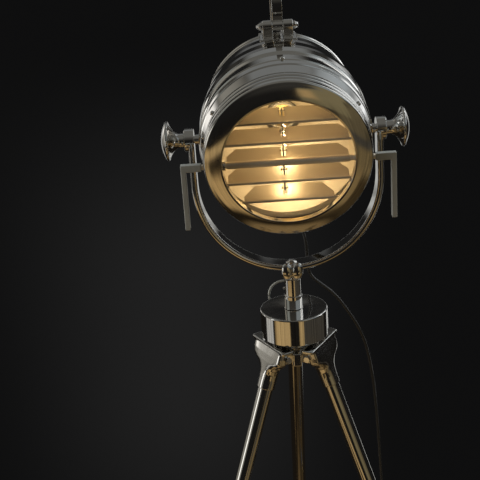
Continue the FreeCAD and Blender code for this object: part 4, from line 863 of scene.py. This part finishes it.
def coilTurns():
    # layers wound inward, outward and inward again, each layer lying on the one below
    made = []
    x, y = coil["centre"]
    count = round(coil["turns"] * coil["perTurn"])
    perLayer = coil["turns"] / coil["layers"]
    for k in range(count + 1):
        along = k * coil["turns"] / count
        layer = min(int(along / perLayer), coil["layers"] - 1)
        share = along / perLayer - layer
        out = share if layer % 2 else 1 - share
        radius = coil["inner"] + (coil["outer"] - coil["inner"]) * out
        climb = sum(smooth((along - perLayer * step) / coil["climbOver"] + 0.5) for step in range(1, coil["layers"]))
        angle = radians(coil["first"] - 360 * along)
        made.append((x + radius * cos(angle), y + radius * sin(angle),
                     coil["low"] + coil["layerRise"] * climb))
    return made


gland, joint, away = Vector(cord["gland"]), Vector(cord["joint"]), Vector(cord["jointWay"])
bend = joint - away * (cord["gap"] + cord["headStraight"])
entry = gland - (bend - gland).normalized() * cord["radius"]
flat = cord["floor"]
cordLine("cordHead", [entry, bend, joint - away * cord["gap"]], "head",
         ["cord_head"])
yokeRoute = [joint + away * cord["gap"], joint + away * cord["yokeStraight"] + Vector((0.6, 0, 0)), (18.8, 99, 446),
             (23.4, 92, 425), (23.4, 92, 409.05)]
cordLine("cordYoke", yokeRoute, "yoke", ["cord_yoke"])
lowerRoute = [
    (23.4, 92, 408.95), (23.4, 92, 390), (29, 91.2, 378.5), (41.5, 90, 368), (55.2, 89.4, 356), (67, 89.6, 339.5),
    (77.8, 90, 321), (87.6, 90.6, 302), (95.4, 92, 279), (101.8, 93.4, 245), (106.4, 94.6, 198), (109.6, 96, 144),
    (111.8, 98, 90), (114, 101, 52), (118, 103.6, 23), (128.6, 106, 6.4), (145, 106.6, flat), (159, 100, flat),
    (165, 86, flat), (165, 70, flat)]
cordLine("cordLower", lowerRoute, "stand", ["cord_lower"])
coilRoute = [
    (165, 14, flat), (165, -8.3, flat), (149.5, -23.8, flat), (130, -24.6, flat), (113.8, -16, flat),
    (104.6, -1.5, flat), (97.6, 12.5, 2.4)] + coilTurns() + [
    (111.6, 23.4, 13.4), (103.4, 20.4, 15.2), (95.6, 20.6, 15.2), (88.4, 22.6, 13.6), (81.0, 26.8, 8.6),
    (73.4, 34.0, 4.0), (66.0, 41.0, flat), (59.4, 48.0, flat), (55.5, 58.0, flat), (55.4, 74.0, flat)]
cordLine("cordCoil", coilRoute, "stand", ["cord_coil"])
print("cord ready")


# ---- every other node keeps its shape and gets its own finish
kept = (
    (zincSteel, ("crown_screws", "louvre_link_bar", "holder_bracket")),
    (brass, ("louvre_bushes", "bulb_cap", "plug_pins")),
    (blackRubber, ("lens_gasket", "cord_gland", *(side + "_leg_foot" for side in leg["bearings"]))),
    (blackPlastic, ("switch_body", "switch_rocker", "plug_body")),
    (bladeMetal, ["louvre_%d" % number for number in range(1, 6)]),
    (bowlMetal, ("reflector", "lens_retainer")), (whiteHolder, ("lamp_holder",)),
    (lensGlass, ("front_lens",)), (bulbGlass, ("bulb_glass",)))
for finish, names in kept:
    for name in names:
        paint(nodes[name], finish)
print("nodes painted")


# ---- lamps: three soft boxes, which the metal doesn't show, and the lit bulb
studio = {
    "leftBox": {"at": (-1.5, -0.5, 1.0), "size": (0.9, 1.2), "power": 22, "colour": (1.0, 0.97, 0.93)},
    "topBox": {"at": (0.3, 0.6, 2.0), "size": (1.2, 0.8), "power": 26, "colour": (0.90, 0.95, 1.0)},
    "rightBox": {"at": (1.5, -0.2, 0.9), "size": (0.5, 1.2), "power": 12, "colour": (1.0, 0.93, 0.82)},
}
lampTarget = (0, 0, 0.45)
bulbLight = {"power": 0.102, "colour": (1.0, 0.73, 0.37), "radius": 0.010, "at": (0, -0.006, 0.004)}


def addLamp(name, kind, facts, at):
    lamp = bpy.data.lights.new(name, kind)
    lamp.energy, lamp.color = facts["power"], facts["colour"]
    holder = bpy.data.objects.new(name, lamp)
    bpy.context.scene.collection.objects.link(holder)
    holder.location = at
    return holder


for name, facts in studio.items():
    box = addLamp(name, "AREA", facts, facts["at"])
    box.data.shape = "RECTANGLE"
    box.data.size, box.data.size_y = facts["size"]
    box.visible_camera = box.visible_glossy = False
    box.rotation_euler = (Vector(lampTarget) - box.location).to_track_quat("-Z", "Y").to_euler()
bulb = addLamp("bulbLight", "POINT", bulbLight, headPlace @ Vector(bulbLight["at"]))
bulb.data.shadow_soft_size = bulbLight["radius"]
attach(bulb, "head")
print("lamps ready")


# ---- floor: a plain pale slab
slab = {"centre": (0.0, -0.08), "half": (0.32, 0.22), "colour": (0.62, 0.58, 0.52), "roughness": 0.8}
(x, y), (halfX, halfY) = slab["centre"], slab["half"]
floorMesh = bpy.data.meshes.new("floor")
floorMesh.from_pydata([(x + sx * halfX, y + sy * halfY, 0) for sx, sy in ((-1, -1), (1, -1), (1, 1), (-1, 1))],
                      [], [(0, 1, 2, 3)])
floor = paint(keepObject("floor", floorMesh),
              Shade("paleFloor").set(Base_Color=slab["colour"], Roughness=slab["roughness"]).material)
floor.visible_glossy = False


# ---- surroundings: the room that the polished metal shows
class Surroundings(Shade):
    # soft cards by bearing and height, in degrees, on a dark ground
    def __init__(self, name):
        self.world = bpy.data.worlds.new(name)
        self.world.use_nodes = True
        self.tree = self.world.node_tree
        self.surface = self.tree.nodes["Background"]
        way = self.node("ShaderNodeSeparateXYZ", {}, {0: self.node("ShaderNodeTexCoord", out=0)})
        x, y, z = (Wire(self, way.socket.node.outputs[k]) for k in range(3))
        self.bearing = self.maths("ARCTAN2", x, y * -1.0) * (180 / pi)
        self.height = self.maths("ARCSINE", z) * (180 / pi)

    def edge(self, value, half, soft):
        return self.node("ShaderNodeMapRange", {"interpolation_type": "SMOOTHSTEP"},
                         {0: value, 1: half + soft, 2: max(half - soft, 0.0), 3: 0.0, 4: 1.0})

    def card(self, bearing, height, halfWide, halfHigh, soft):
        across = self.maths("ABSOLUTE", self.maths("WRAP", self.bearing - bearing, 180.0, -180.0))
        along = self.maths("ABSOLUTE", self.height - height)
        return self.edge(across, halfWide, soft) * self.edge(along, halfHigh, soft)


# each card: bearing (0 in front, 90 to the right), height, half width, half height, softness, colour
cards = {
    "skyRight": (62, 32, 36, 20, 8, (0.23, 0.257, 0.27)),
    "skyBackRight": (132, 34, 16, 22, 6, (0.365, 0.398, 0.419)),
    "skyBackLeft": (-130, 34, 14, 20, 6, (0.284, 0.27, 0.236)),
    "skyLeft": (-78, 30, 18, 16, 8, (0.238, 0.252, 0.238)),
    "skyBehind": (180, 42, 30, 14, 3, (0.172, 0.178, 0.178)),
    "darkBehind": (180, 11, 22, 14.5, 2, (0.012, 0.012, 0.012)),
    "bandBehind": (180, 12, 13, 6, 3, (0.11, 0.112, 0.112)),
    "lineBehind": (180, -13, 30, 7, 3, (0.50, 0.50, 0.48)),
    "wallLeft": (-100, -6, 46, 9, 4, (0.284, 0.27, 0.236)),
    "sideRight": (42, -14, 18, 16, 5, (0.118, 0.092, 0.050)),
    "frontRight": (25, 2, 16, 13, 1.5, (0.179, 0.146, 0.078)),
    "frontBright": (14, 5, 4, 7, 3, (0.36, 0.24, 0.106)),
    "floorRight": (59, -36, 23, 10, 5, (0.17, 0.122, 0.056)),
    "floorDeepRight": (62, -56, 40, 12, 5, (0.052, 0.035, 0.016)),
    "floorRightArc": (29, -50, 26, 10, 4, (0.235, 0.158, 0.067)),
    "lowWallRight": (74, -25, 44, 3.2, 1.5, (0.056, 0.050, 0.040)),
    "floorLeftArc": (-35, -50, 33, 11, 4, (0.506, 0.325, 0.132)),
    "crescentLeft": (-66, -33, 7, 11, 4, (0.483, 0.322, 0.138)),
    "lowLeft": (-42, -25.5, 24, 3.5, 2, (0.528, 0.36, 0.162)),
    "lowRight": (21, -25.5, 8, 3.5, 2, (0.475, 0.325, 0.144)),
    "stripLeft": (-98, -24, 16, 6, 3, (0.546, 0.533, 0.501)),
    "stripBack": (156, -25, 14, 4, 2, (0.75, 0.75, 0.72)),
    "windowLeft": (-78, -4, 6, 10, 3, (1.785, 1.768, 1.7)),
    "windowRight": (100, 24, 5, 22, 3, (1.71, 1.746, 1.764)),
    "stripRight": (126, 26, 4, 22, 3, (1.955, 1.989, 2.006)),
    "spotLeft": (-118, -1, 5, 6, 3, (1.52, 1.488, 1.408)),
    "spotBackLeft": (-146, 2, 6, 9, 4, (1.105, 1.071, 1.02)),
    "spotBackRight": (150, 4, 5, 11, 4, (1.054, 1.071, 1.088)),
}
room = {"nadir": (0.20, 0.130, 0.055), "floor": (0.014, 0.010, 0.006), "level": (0.010, 0.0095, 0.009),
        "wall": (0.050, 0.047, 0.041), "ceiling": (0.12, 0.118, 0.108)}
rise = ((0.0, "nadir"), (0.075, "nadir"), (0.115, "floor"), (0.47, "level"), (0.55, "level"), (0.66, "wall"),
        (0.80, "ceiling"), (1.0, "ceiling"))          # from straight down to straight up
streak = {"rate": 0.22, "detail": 3.0, "roughness": 0.6, "range": (0.30, 0.62), "depth": 0.55, "middle": -42,
          "reach": 36, "soft": 8}
backdrop = {"plain": (0.0046, 0.0046, 0.0047), "glow": (0.0145, 0.0144, 0.0144), "glowAt": (-175, -25, 7, 10, 7)}
around = Surroundings("studio")
light = around.node("ShaderNodeValToRGB", {"stops": [(place, room[part]) for place, part in rise]},
                    {0: around.height / 180.0 + 0.5})
for *shape, colour in cards.values():
    light = around.mix(around.card(*shape), light, colour)
streaks = around.node("ShaderNodeTexNoise", {"noise_dimensions": "1D"}, {
    "W": around.bearing * streak["rate"], "Scale": 1.0, "Detail": streak["detail"], "Roughness": streak["roughness"]})
below = around.edge(around.maths("ABSOLUTE", around.height - streak["middle"]), streak["reach"], streak["soft"])
shaded = around.mix(below * streak["depth"], light, (0.0, 0.0, 0.0))
light = around.mix(streaks.clipped(*streak["range"]), shaded, light)
# what the camera sees past the lamp is a plain dark backdrop with a faint glow
seen = around.node("ShaderNodeLightPath", out=0)
behind = around.mix(around.card(*backdrop["glowAt"]), backdrop["plain"], backdrop["glow"])
around.set(Color=around.mix(seen, light, behind))
bpy.context.scene.world = around.world
print("surroundings ready")


# ---- camera: in front, a little above and slightly rolled; angles in degrees, lengths in metres
view = {"lens": 75.0, "sensor": 36.0, "azimuth": 1.0, "elevation": 20.1, "distance": 1.163, "roll": 4.0,
        "target": (-0.0584, 0.0, 0.4692)}
camera = bpy.data.objects.new("camera", bpy.data.cameras.new("camera"))
bpy.context.scene.collection.objects.link(camera)
camera.data.lens, camera.data.sensor_width = view["lens"], view["sensor"]
azimuth, elevation, roll = (radians(view[key]) for key in ("azimuth", "elevation", "roll"))
target = Vector(view["target"]) + Vector((0, stemAxis.y, 0))
right = Vector((cos(azimuth), sin(azimuth), 0))
back = Vector((right.y * cos(elevation), -right.x * cos(elevation), sin(elevation)))
up = back.cross(right)
sideways = right * cos(roll) - up * sin(roll)
upwards = right * sin(roll) + up * cos(roll)
turn = Matrix((sideways, upwards, back)).transposed().to_4x4()
camera.matrix_world = Matrix.Translation(target + back * view["distance"]) @ turn
bpy.context.scene.camera = camera
bpy.context.scene.view_settings.view_transform = "Standard"

print("scene ready")
